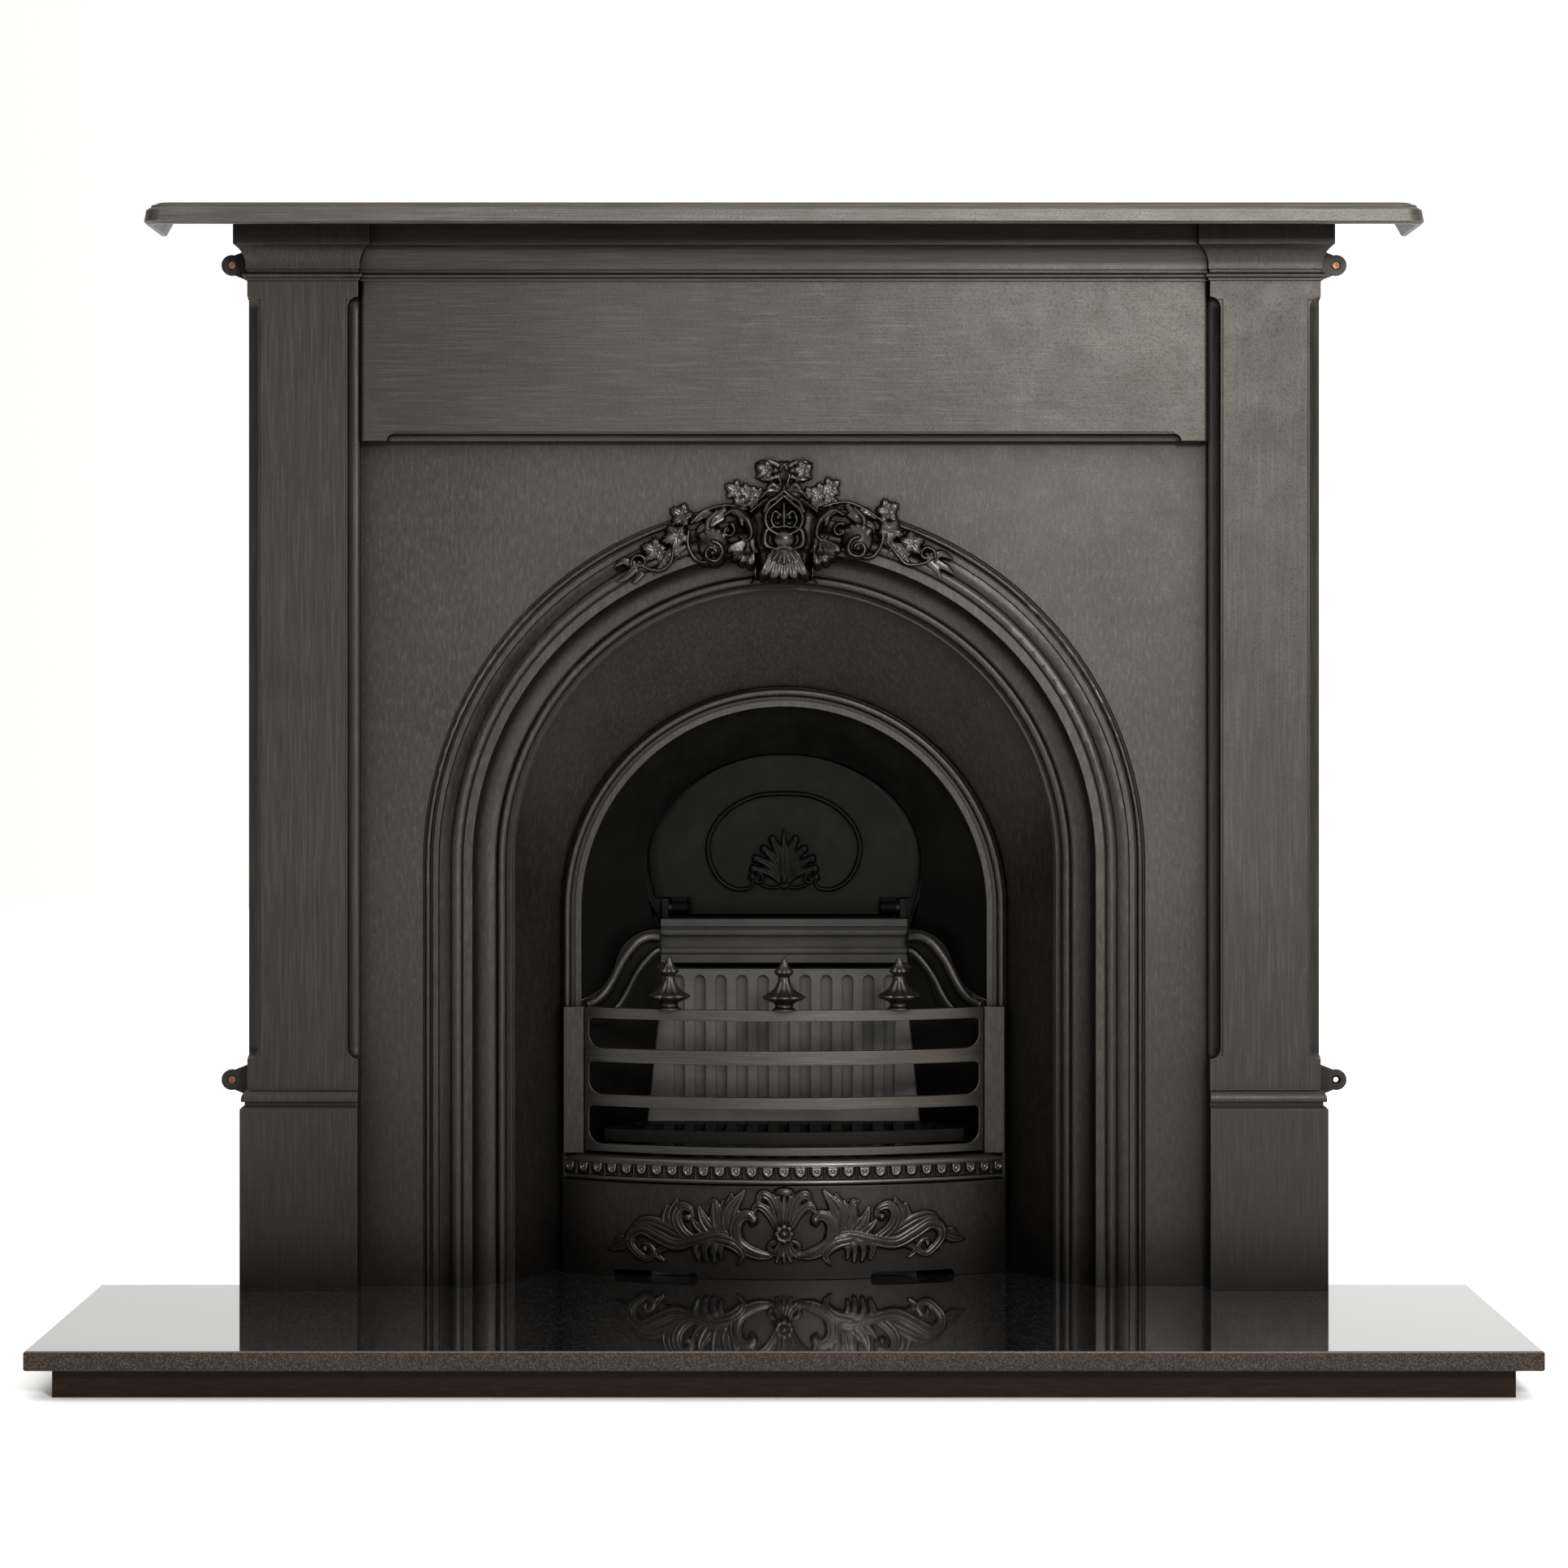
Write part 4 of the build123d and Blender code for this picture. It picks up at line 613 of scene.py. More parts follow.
    def fan(self, x, z, radius, heading, spread, lobes, low, high, lift=0.0):
        """A scalloped shell fan that flares outwards and is finely ribbed."""
        ribs, reach = 3, radius * 1.12 + 4
        part, gx, gz = self.window((x - reach, z - reach), (x + reach, z + reach))
        dx, dz = gx - x, gz - z
        distance = np.hypot(dx, dz)
        turn = np.angle(np.exp(1j * (np.arctan2(dz, dx) - radians(heading))))
        half = radians(spread) / 2
        wave = np.abs(np.cos(turn / (2 * half) * pi * lobes + (pi / 2 if lobes % 2 == 0 else 0)))
        edge = radius * (0.9 + 0.1 * np.sqrt(wave)) * np.where(np.abs(turn) < half, 1.0, 0.0)
        u = np.clip(distance / np.maximum(edge, 1e-6), 0, 1)
        value = (low + (high - low) * u ** 1.6) * np.sqrt(1 - u ** 14)
        value += 2.0 * (wave - 0.5) * u ** 4
        value += 0.5 * np.cos(turn / (2 * half) * 2 * pi * lobes * ribs) * np.clip(2 * u - 1, 0, 1)
        aside = distance * np.sin(np.clip(np.abs(turn) - half, 0, pi / 2))
        beyond = np.where(np.abs(turn) < half, distance - edge, aside)
        value = np.where(distance > edge, -beyond * self.steep, value)
        self.raise_to(part, lift + value)

    def cavity(self, front, radius_mm, scale):
        """How proud of its surroundings each point is, from -1 to 1."""
        radius = max(1, int(radius_mm / self.pitch / 2))
        return np.clip((front - blurred(front, radius)) / scale, -1, 1)


def tube(name, points, radius, body, slot, flat=1.0, sides=12):
    """A round or flattened bead along points (x, p, z)."""
    path = np.asarray(points, float)
    along = np.gradient(path, axis=0)
    along /= np.linalg.norm(along, axis=1)[:, None]
    across = np.cross(along, (0, 1, 0))
    across /= np.linalg.norm(across, axis=1)[:, None]
    out = np.cross(across, along)
    rings = []
    for k in range(sides):
        a = 2 * pi * k / sides
        rings.append(path + across * (radius * cos(a)) + out * (radius * flat * sin(a)))
    points = np.stack(rings, axis=1).reshape(-1, 3)
    return piece(name, points, capped_rings(len(path), sides), body, slot)


# ---- ash cover ----------------------------------------------------------------------------
COVER_BEND, COVER_FRONT = 528.8, -36.0


def cover_face(x):
    """How far forward the bowed face of the ash cover stands at x."""
    return COVER_FRONT - COVER_BEND + np.sqrt(COVER_BEND ** 2 - x ** 2)


def make_cover_plate():
    """The bowed plate with two air notches in its foot and softly rounded top and end edges."""
    half, low, high, thick, soft = 254.0, 50.3, 156.5, 6.0, 2.2
    notch_in, notch_out, notch_top, corner = 98.0, 193.0, 57.3, 5.0
    bend = corner * (1 - np.cos(np.linspace(0, pi / 2, 7)))
    end = half - soft * (1 - np.sin(np.linspace(0.15, 1, 6) * pi / 2))
    right = np.concatenate([
        np.linspace(0, notch_in - 0.02, 30), notch_in + bend,
        np.linspace(notch_in + corner + 3, notch_out - corner - 3, 24), notch_out - bend[::-1],
        [notch_out + 0.02], np.linspace(notch_out + 4, half - soft, 16), end])
    columns = np.concatenate([-right[:0:-1], right])
    reach = np.abs(columns)
    inside = (reach >= notch_in) & (reach <= notch_out)
    near = np.minimum(reach - notch_in, notch_out - reach)
    arch = notch_top - rounding(near, corner)
    foot = np.where(inside, arch, low)
    top_share = soft / 106
    top = 1 - top_share * (1 - np.sin(np.linspace(0.0, 1, 6) * pi / 2))
    share = np.concatenate([np.linspace(0, 1 - 2 * top_share, 26), top])
    z = foot + share[:, None] * (high - foot)
    x = np.broadcast_to(columns, z.shape)
    fall = np.maximum(rounding(high - z, soft), rounding(half - np.abs(x), soft))
    back = COVER_FRONT - COVER_BEND + np.sqrt((COVER_BEND - thick) ** 2 - x ** 2)
    points, faces = closed_plate(x, z, cover_face(x) - fall, back)
    sharpen(piece("cover_plate", points, faces, "ash_cover", "insert_iron", ["ash_cover"]))


def sharpen(made, angle=35.0):
    """Keeps folds sharper than the angle crisp and the rest smooth."""
    made.data.set_sharp_from_angle(angle=radians(angle))


def cover_side(relief, side):
    """The right or left half of the scrollwork, written for x counted from the middle."""
    def at(points):
        if side < 0:
            return [(-x, z) for x, z in points]
        beyond = [max(0.0, x - 100) for x, _ in points]
        return [(x + min(5.0, 0.2 * far), z + 0.11 * far) for (x, z), far in zip(points, beyond)]

    def frond(points, width, height, lines=MID, blunt=5.0, **more):
        broad = [1.4 * value + 0.6 for value in width]
        relief.stroke(at(points), broad, height, lines=lines, blunt=blunt, **more)

    def bud(x, z, radius, height):
        (cx, cz), = at([(x, z)])
        relief.ball(cx, cz, radius, height)

    # Palmette in the middle, between the two C scrolls.
    frond([(7, 113), (10, 130), (16, 142), (25, 146), (29, 139)], (7, 9, 9, 5), (3, 4.6, 5.2, 4.4),
          (-0.4, 0.2))
    frond([(9, 110), (15, 122), (23, 131), (31, 133), (34, 127)], (6, 8, 8, 4), (3, 4.2, 4.8, 4),
          (-0.36, 0.36))
    frond([(3, 112), (5, 128), (8, 141)], (4, 6, 6), (3, 4.2, 4.6))
    frond([(4, 92), (9, 82), (15, 76)], (6, 7, 4), (4, 4.4, 3.4))
    frond([(2, 90), (5, 79), (8, 71)], (6, 6, 3.5), (4, 4.4, 3.2))
    frond([(5, 93), (12, 92), (17, 88), (15, 83), (10, 84)], (4, 5, 4.5, 3), (3.6, 4, 3.6, 3), ())
    # C scroll with its ball.
    frond([(36, 112), (35, 118), (42, 123), (51, 118), (55, 107), (52, 93), (42, 84), (30, 79), (18, 77)],
          (4, 8, 10, 11, 12, 12, 12, 11, 7), (4.5, 5, 5.2, 5.2, 5.2, 5.2, 5, 4.6, 3.6), (-0.45, 0.5), 4.0)
    bud(35, 116.5, 6.2, 6.0)
    # Upright leaf beside it, with its lobes.
    frond([(54, 97), (62, 112), (59, 130), (45, 150)], (14, 18, 15, 3), (3.6, 4.8, 4.8, 3.4),
          (-0.55, -0.1, 0.4), dish=0.12)
    frond([(62, 108), (66, 126), (59, 146)], (8, 11, 3), (3.4, 4.4, 3.2), (0.1,))
    frond([(64, 106), (71, 123), (68, 138)], (8, 10, 3), (3.2, 4.2, 3.0), (0.1,))
    frond([(58, 97), (72, 107), (76, 122), (78, 136), (84, 138)], (10, 14, 12, 7, 3), (3.6, 4.6, 4.6, 4, 3),
          (-0.4, 0.3), dish=0.1)
    frond([(60, 96), (80, 104), (90, 116), (96, 131)], (10, 13, 11, 2.5), (3.6, 4.6, 4.4, 3), (-0.4, 0.3),
          dish=0.1)
    frond([(64, 95), (84, 98), (97, 108), (103, 116)], (8, 10, 8, 2.5), (3.4, 4.2, 4, 3))
    # Claw and hanging fingers.
    frond([(84, 96), (72, 94), (60, 91), (50, 84), (47, 76), (52, 67)], (9, 11, 12, 10, 7, 2.5),
          (4, 5, 5.6, 5.6, 5, 3.4), (-0.4, 0.3))
    frond([(74, 96), (91, 95), (100, 86), (97, 74)], (7, 8, 7, 4.5), (3.8, 4.8, 4.8, 4), (0.3,))
    frond([(72, 94), (86, 91), (90, 82), (88, 72)], (6, 7, 6.5, 4.5), (3.8, 5.2, 5.2, 4.2), ())
    frond([(69, 93), (78, 88), (80, 80), (79, 71)], (6, 6.5, 6, 4), (3.8, 5.4, 5.4, 4.2), ())
    frond([(66, 92), (71, 86), (72, 80), (71, 74)], (5, 5.5, 5, 3.5), (3.8, 5.2, 5.2, 4), ())
    # Rising hook leaf with its ball and outer lobes.
    frond([(100, 92), (116, 104), (122, 119), (116, 131), (106, 129), (103, 121)], (9, 11, 11, 9, 6, 4),
          (4, 4.8, 5.2, 5, 4.6, 4), (-0.35, 0.3))
    bud(109, 118.5, 5.6, 5.6)
    frond([(104, 93), (123, 107), (128, 122), (121, 138)], (9, 11, 10, 2.5), (3.8, 4.4, 4.4, 3), (0.1,))
    frond([(106, 93), (130, 104), (135, 117), (132, 131)], (8, 9, 8, 2.5), (3.6, 4.2, 4, 3))
    frond([(110, 93), (130, 100), (140, 112)], (7, 8, 2.5), (3.4, 4, 3))
    # Long outer arm into its volute, and the tail beyond.
    frond([(54, 96), (75, 100), (100, 94), (122, 88), (143, 96), (160, 104), (172, 98), (174, 88),
           (167, 78), (156, 71), (147, 77), (151, 86), (158, 87)],
          (8, 10, 11, 12, 13, 12, 10, 8, 7, 6, 5, 4, 3),
          (4, 4.6, 5, 5, 5.2, 5.2, 5, 4.8, 4.6, 4.4, 4.4, 4.4, 4), (-0.4, 0.35), count=90)
    bud(158, 81, 4.6, 5.2)
    frond([(104, 93), (125, 103), (146, 112), (161, 113), (172, 106)], (7, 10, 11, 8, 2.5),
          (3.6, 4.6, 4.8, 4.2, 3))
    frond([(120, 90), (136, 84), (143, 76), (136, 70)], (7, 8, 6, 2.5), (3.6, 4.2, 3.8, 3))
    frond([(168, 100), (177, 90), (187, 83), (199, 80)], (9, 10, 8, 2.5), (3.8, 4.4, 4, 2.6), (-0.3, 0.3))
    frond([(176, 92), (186, 92), (192, 87)], (6, 6, 2.5), (3.2, 3.6, 2.8))


def make_cover_scrolls():
    relief = Relief((-210, 62), (216, 158), 0.75, steep=3.2)
    for side in (-1, 1):
        cover_side(relief, side)
    relief.ball(0, 148, 12.5, 5.4, flat=0.56)
    relief.stroke([(0, 112), (0, 128), (0, 144)], (5, 6, 6), (3.4, 4.6, 5), lines=MID)
    relief.stroke([(0, 92), (0, 80), (0, 69.5)], (6, 6.5, 4), (4, 4.6, 3.2), lines=MID)
    height = np.minimum(relief.height, 5.8)
    kept = lowest_corner(height) > -1.4
    base = cover_face(relief.x)
    front = base + np.maximum(height, -1.5)
    points, faces, used = sheet_solid(relief.x, relief.z, front, base - 2.6, kept)
    made = piece("cover_scrollwork", points, faces, "ash_cover", "ornament_iron", ["ash_cover"])
    # Painted highlight on the crests, and painted shade in the hollows and round the foot of the scrolls.
    proud = relief.cavity(np.maximum(height, -0.5), 6.0, 2.6)[used] - 0.25 * (height[used] < 1.5)
    set_cavity(made, np.concatenate([proud, np.zeros(len(proud))]))


# ---- turned pieces ------------------------------------------------------------------------
def turned(name, origin, upright, rings, body, slot, replaced):
    """A lathe-like solid: rings of (height, radii round the turn), stacked upwards or forwards."""
    sides = len(rings[0][1])
    angle = 2 * pi * np.arange(sides) / sides
    points = []
    for height, radii in rings:
        a, b = radii * np.cos(angle), radii * np.sin(angle)
        flat = np.full(sides, float(height))
        block = (a, b, flat) if upright else (a, flat, b)
        points.append(np.column_stack(block))
    points = np.concatenate(points) + np.asarray(origin, float)
    faces = capped_rings(len(rings), sides)
    if not upright:
        faces = [tuple(face[::-1]) for face in faces]
    sharpen(piece(name, points, faces, body, slot, replaced), 50)


def make_finials():
    """Three eight-lobed finials on the top bar, each turned round its own middle."""
    foot = [(-8, 3.0), (0, 3.0), (0.02, 13.5), (1.6, 13.5)]
    outline = [(1.6, 12.6), (4.6, 10.2), (8.5, 12.2), (12.2, 21.0), (14.8, 24.2), (16.8, 23.0), (20.5, 16.4),
               (25, 11.4), (31, 7.8), (37, 6.3), (40.2, 8.8), (43.4, 11.2), (46, 9.6), (50, 5.6), (55, 3.9),
               (58.6, 2.3), (60, 0.4)]
    sides = 64
    angle = 2 * pi * np.arange(sides) / sides
    lobe = np.abs(np.cos(4 * angle)) ** 0.7
    for name in ("finial_left", "finial_centre", "finial_right"):
        (x0, x1), (p0, p1), (z0, _) = box_mm(name)
        rings = [(height, np.full(sides, radius)) for height, radius in foot]
        for height, radius in smooth_path(outline, 90):
            depth = np.interp(height, (1.6, 9, 15, 27, 37, 44, 52, 60),
                              (0, 0.05, 0.13, 0.16, 0.05, 0.14, 0.1, 0))
            rings.append((height, radius * (1 - depth + depth * lobe)))
        turned(name + "_lobed", ((x0 + x1) / 2, (p0 + p1) / 2, z0 + 8), True, rings, "front_bars",
               "grate_iron", [name])


def make_knob():
    """Rosette of eight petals round a ball, on a short neck."""
    (x0, x1), (p0, _), (z0, z1) = box_mm("cover_knob")
    sides = 96
    angle = 2 * pi * np.arange(sides) / sides
    petal = np.sqrt(np.abs(np.cos(4 * angle)))
    rings = [(0, np.full(sides, 7.4)), (5.5, np.full(sides, 6.6)), (6.6, np.full(sides, 7.4))]
    for step in np.linspace(-0.9, 1, 14):
        bulge = np.sqrt(1 - (0.94 * step) ** 2)
        rings.append((10.6 + 4.0 * step, (6.4 + 0.9 * petal) + bulge * (1.0 + 3.5 * petal)))
    rings.append((13.4, np.full(sides, 5.0)))
    for turn in np.linspace(-0.15, 1, 9):
        rings.append((13.0 + 4.1 * sin(turn * pi / 2), np.full(sides, max(0.3, 4.2 * cos(turn * pi / 2)))))
    turned("knob_rosette", ((x0 + x1) / 2, p0, (z0 + z1) / 2), False, rings, "ash_cover", "grate_iron",
           ["cover_knob"])


# ---- beaded ledge -------------------------------------------------------------------------
def make_ledge():
    """The bowed ledge under the bars: rounded foot, a row of tongues with drilled eyes, coved top."""
    bend, centre, half, rear = 489.9, -30.0, 249.0, box_mm("grate_ledge")[1][0]
    count, pitch = 760, 18.3
    x = np.linspace(-half, half, count)
    arc = bend * np.arcsin(x / bend)
    slip = (arc + pitch / 2) % pitch - pitch / 2
    tongue_half, tongue_turn, tongue_top, eye_z = 6.3, 171.2, 176.6, 171.6
    foot = [(-3.2 + 3.2 * cos(a), 160 + 3.0 * sin(a)) for a in np.linspace(-pi / 2, pi / 2, 13)]
    band = [(-4.2, z) for z in np.linspace(163.3, 176.3, 20)]
    cove = [(-2.0, 176.6), (-1.6, 177.4), (-2.6, 178.2)]
    cove += [(-3.4 - 9.6 * (1 - cos(a)), 178.4 + 7.6 * sin(a)) for a in np.linspace(0, pi / 2, 12)]
    profile = [(-46.0, 157.0), (-30.0, 157.0), *foot, *band, *cove, (-30.0, 186.0), (-46.0, 186.0)]
    rows, shades = [], []
    for offset, z in profile:
        rise = np.zeros(count)
        if (offset, z) in band:
            low_side = np.hypot(slip, np.minimum(z - tongue_turn, 0))
            inner = np.minimum(tongue_half - low_side, tongue_top - z)
            rise = 3.9 * np.sqrt(1 - (1 - np.clip(inner / 1.9, 0, 1)) ** 2)
            eye = np.hypot(slip, z - eye_z)
            rise -= 1.1 * np.exp(-((eye - 1.7) / 0.6) ** 2) * (inner > 0.5)
            between = pitch / 2 - np.abs(slip)
            rise = np.maximum(rise, 2.2 * np.exp(-(between / 0.7) ** 2))
            # Painted highlight on the tongues and painted shade round their feet.
            shades.append((rise - 2.2) / 1.8)
        else:
            shades.append(rise)
        forward = centre - bend + np.sqrt((bend + offset + rise) ** 2 - x ** 2)
        rows.append(np.column_stack((x, np.maximum(forward, rear), np.full(count, z))))
    points = np.concatenate(rows)
    faces = grid_faces(len(rows), count)
    last = (len(rows) - 1) * count
    for i in range(count - 1):
        faces.append((last + i, last + i + 1, i + 1, i))
    faces.append(tuple(k * count for k in range(len(rows)))[::-1])
    faces.append(tuple(k * count + count - 1 for k in range(len(rows))))
    made = piece("beaded_ledge", points, faces, "surround", "ornament_iron", ["grate_ledge"], LEDGE_IRON)
    sharpen(made, 60)
    set_cavity(made, np.concatenate(shades))


# ---- keystone -----------------------------------------------------------------------------
def keystone_leaves(r):
    """Clusters, ivy and vine leaves. Lifts are above the ornament's base."""
    for side in (-1, 1):
        r.leaf(side * 20, 957, 11.5, 90 - side * 60, 7, 5, notch=0.2)
        r.stroke([(0, 965), (side * 5.5, 952), (0, 937), (-side * 20, 925), (-side * 37, 911)],
                 (3.2, 3.2, 3.4, 3.8, 3.8), (5, 5, 7, 9, 9), 4)
    r.pair([(8, 950), (20, 947.5), (30, 950)], (6, 8, 5), (6, 6, 4), 4, lines=MID)
    r.pair([(6, 963), (18, 967.5), (30, 964)], (6, 8, 5), (6, 6, 4), 4, lines=MID)
    r.balls(9.5, 957, 5.4, 9, 5)
    r.pair([(3, 964), (4, 950), (9, 938)], (10, 11, 12), (5, 5, 5), 1.5)
    r.pair([(5, 936), (13, 941), (22, 932)], (4, 10, 2.5), (8, 9, 6), 5, lines=MID)
    r.pair([(7, 934), (18, 934), (27, 925)], (4, 8, 2.5), (8, 9, 6), 5, lines=MID)
    ivy = ((-54, 935, 12, 150), (-40, 932, 11, 110), (-29, 931, 8, 60), (-49, 920, 10, 200),
           (-34, 921, 9, 260), (51, 938, 12, 35), (38, 932, 11, 80), (28, 931, 8, 110), (50, 924, 10, -10),
           (35, 921, 9, -80))
    for x, z, radius, heading in ivy:
        r.leaf(x, z, radius, heading, 4.5, 4.5, notch=0.34)
    vine = ((-113, 907, 13.5, 150), (-119, 884, 15, 200), (114, 912, 13.5, 30), (117, 891, 14.5, -20))
    for x, z, radius, heading in vine:
        r.leaf(x, z, radius, heading, 5.5, 5)
    r.leaf(-143, 868, 14, 160, 5, 4)
    r.leaf(141, 876, 14, 20, 5, 4)


def keystone_stems(r):
    """Upper stems and the curled leaves that hang from them."""
    r.stroke([(-42, 914), (-56, 918), (-70, 918), (-90, 911.5), (-103, 899)], (4, 4.5, 4.5, 4, 3),
             (6, 6.5, 6.5, 6, 5), 4)
    r.stroke([(44, 917), (58, 921), (72, 921.5), (89, 915), (104, 905), (115, 894)], (4, 4.5, 4.5, 4.5, 4, 3),
             (6, 6.5, 6.5, 6, 6, 5), 4)
    for side, dx, dz in ((-1, 0, 0), (1, 4, 3.5)):
        def at(*points):
            return [(side * (x + dx), z + dz) for x, z in points]
        r.stroke(at((66, 914), (76, 906), (88, 908), (98, 900)), (6, 12, 11, 3), (6, 7, 7, 5), 3.5,
                 lines=VEINS, dish=0.2)
        r.stroke(at((68, 904), (82, 897), (92, 892), (96, 884)), (6, 12, 10, 3), (6, 7, 7, 5), 3.5,
                 lines=VEINS, dish=0.2)
        r.stroke(at((74, 912), (84, 901), (84, 891), (76, 888)), (5, 8, 7, 3), (7, 9, 8, 6), 4, lines=MID)


def keystone_arm(r, side, blade, stem, eye, ends):
    """An outer arm: a serrated leaf, and the stem that ends in a spiral with three leaves."""
    def at(points):
        return [(side * x, z) for x, z in points]
    r.stroke(at(blade), (7, 15, 3), (6, 7, 5), 3, lines=(-0.55, 0.0, 0.55), dish=0.15)
    for share, reach in ((0.3, 10), (0.5, 11), (0.7, 9)):
        bx, bz = smooth_path(blade, 30)[int(share * 29)]
        for dx, dz in ((-0.5, -0.75), (0.75, 0.3)):
            r.stroke(at(((bx, bz), (bx + reach * dx, bz + reach * dz))), (7, 2.5), (6.5, 4.5), 3, lines=MID)
    r.stroke(at(stem), (5, 5.5, 5.5, 5, 4.5, 4), (7, 8, 8, 7.5, 7, 6), 3.5)
    r.volute(side * eye[0], eye[1], 9.5, 1.1, -20 if side > 0 else 200, side, (5, 4.2, 3.4), (7.5, 7, 6), 3.5)
    for *bones, width in ends:
        r.stroke(at(bones), width, (6, 6.5, 4.5), 3, lines=VEINS, dish=0.15)


def keystone_conch(r, side, cx, cz):
    """A ribbed conch volute beside the shell, with the stem that goes round it."""
    r.ball(side * (cx - 1), cz + 9, 18, 12, 6, flat=1.05)
    r.volute(side * cx, cz, 12.5, 1.35, 90, side, (8, 7, 5.5, 4), (13, 12, 11, 10), 9)
    for k in range(5):
        lean = radians(52 + 19 * k)
        near = (side * (cx + 7 * cos(lean)), cz + 8 * sin(lean))
        far = (side * (cx + 20 * cos(lean)), cz + 25 * sin(lean))
        r.stroke([near, far], (6, 9), (12, 8), 6, lines=MID)
    stem = ((27, 25), (27, 7), (16, -9), (-2, -9), (-18, 0))
    r.stroke([(side * (cx + dx), cz + dz) for dx, dz in stem], (4, 5.5, 6, 6, 4), (6, 8, 9, 9, 8), 4)


def keystone_shell(r):
    """Shell skirt: two side fans, a centre fan and the body that carries the cartouche."""
    for side in (-1, 1):
        r.fan(side * 33, 886, 37, -90 + side * 32, 66, 4, 10, 17, 4)
        r.volute(side * 62, 890, 8, 1.0, 60, side, (5, 4, 3), (10, 9, 8), 5)
    r.fan(0, 893, 62, -90, 58, 5, 13, 26, 3)
    r.stroke([(0, 924), (0, 905), (0, 880), (0, 868)], (44, 74, 70, 60), (9, 10, 11, 12), 3, blunt=6)
    r.pair([(66, 908), (54, 913), (40, 901), (36, 886), (42, 879), (49, 884)], (4, 9, 10, 8, 6, 4),
           (6, 12, 15, 15, 14, 12), 5, lines=VEINS)
    r.pair([(62, 912), (50, 907), (46, 896)], (3, 8, 5), (5, 10, 10), 5, lines=MID)
    r.balls(40, 866, 7, 20, 4, flat=1.35)
    r.pair([(40, 876), (40, 858)], (5, 3), (22, 20), 4, lines=MID)


def keystone_cartouche(r):
    """Ring, inner scrolls, egg in its cup, pendant and rays."""
    r.pair([(0, 928), (8, 921), (17, 913), (20.5, 903), (17, 892), (8, 886), (0, 884.5)],
           (4, 4.4, 4.8, 4.8, 4.8, 4.6, 4.4), (7, 6.5, 6.5, 6.5, 6.5, 6.5, 6.5), 19, count=70)
    r.pair([(0, 934), (9, 926), (16, 922), (22, 911)], (4, 5, 5, 4), (7, 7, 7, 6), 17)
    r.pair([(0, 895), (9, 893), (14, 901), (10, 911), (4, 907)], (3, 4, 4, 3.6, 3), (6, 6, 6, 5), 18)
    r.balls(6.5, 904, 3.2, 6, 18)
    r.pair([(8, 868), (20, 874), (20, 888), (13, 893)], (4, 6.5, 6.5, 3), (6, 7, 7, 6), 18)
    r.stroke([(0, 920), (0, 908), (0, 893)], (3, 6, 3.5), (5.5, 7, 6), 18.5)
    r.ball(0, 880, 12.5, 10, 18, flat=0.86)
    for k in range(-3, 4):
        lean = radians(-90 + 17 * k)
        r.stroke([(0, 876), (21 * cos(lean), 876 + 22 * sin(lean))], (3, 6.5), (5, 5.5), 21 - abs(k))
    r.ball(0, 864, 4.2, 6, 21.5)
    r.stroke([(0, 933), (0, 940)], (5, 2.5), (7, 6), 16)


def make_keystone():
    """The keystone casting: its relief stands on the arch moulding and hides its joint with it."""
    relief = Relief((-188, 831.5), (188, 968.5), 0.8)
    keystone_leaves(relief)
    keystone_stems(relief)
    keystone_arm(relief, -1, ((110, 872), (128, 862), (144, 841)),
                 ((122, 877), (125, 857), (134, 847), (145, 846), (156, 850), (163, 855)), (160.5, 854.8),
                 (((168, 853), (178, 856), (188, 850), (12, 9, 3)),
                  ((166, 847), (176, 838), (187, 833), (11, 9, 3)),
                  ((158, 842), (166, 833), (172, 826), (9, 7, 3))))
    keystone_arm(relief, 1, ((111, 877.5), (128, 868), (142, 848.5)),
                 ((114.5, 877.5), (127, 862), (134, 854), (142, 852), (156, 854), (165, 860)), (158.7, 863.6),
                 (((166, 862), (176, 864), (186, 859), (12, 9, 3)),
                  ((162, 854), (170, 846), (174, 836), (10, 8, 3)),
                  ((170, 854), (181, 848), (189, 841), (11, 8, 3))))
    keystone_conch(relief, -1, 79, 865)
    keystone_conch(relief, 1, 82, 870)
    keystone_shell(relief)
    keystone_cartouche(relief)
    arch_centre_z = 521.0
    reach = np.hypot(relief.x, relief.z - arch_centre_z)
    under = np.interp(reach, (302.6, 310.3, 323, 339.5, 346.3, 368, 374, 390.3, 399, 408, 410),
                      (-22, -6, -6, -1, 19.1, 19.1, 13, 10.5, 10.5, 8, 8))
    base = np.interp(reach, (344, 350, 385, 405), (12, 17, 17, 9)) - 4
    proudest, deepest = 45.5, -6.5
    front = np.minimum(np.maximum(base + relief.height, under - 3), proudest)
    inside = front > under - 2.7
    kept = inside[:-1, :-1] & inside[1:, 1:] & inside[:-1, 1:] & inside[1:, :-1]
    back = np.maximum(np.minimum(front - 2, under - 3.5), deepest)
    points, faces, used = sheet_solid(relief.x, relief.z, front, back, kept)
    made = piece("keystone_relief", points, faces, "surround", "ornament_iron", ["keystone_ornament"])
    level = np.maximum(relief.height, -4)
    # Painted highlight on the crests and painted shade in the hollows, at a fine and a broad scale.
    mixed = relief.cavity(level, 5.0, 3.2)[used] * 0.7 + relief.cavity(level, 16.0, 12.0)[used] * 0.5
    set_cavity(made, np.concatenate([np.clip(mixed, -1, 1), np.zeros(len(mixed))]))


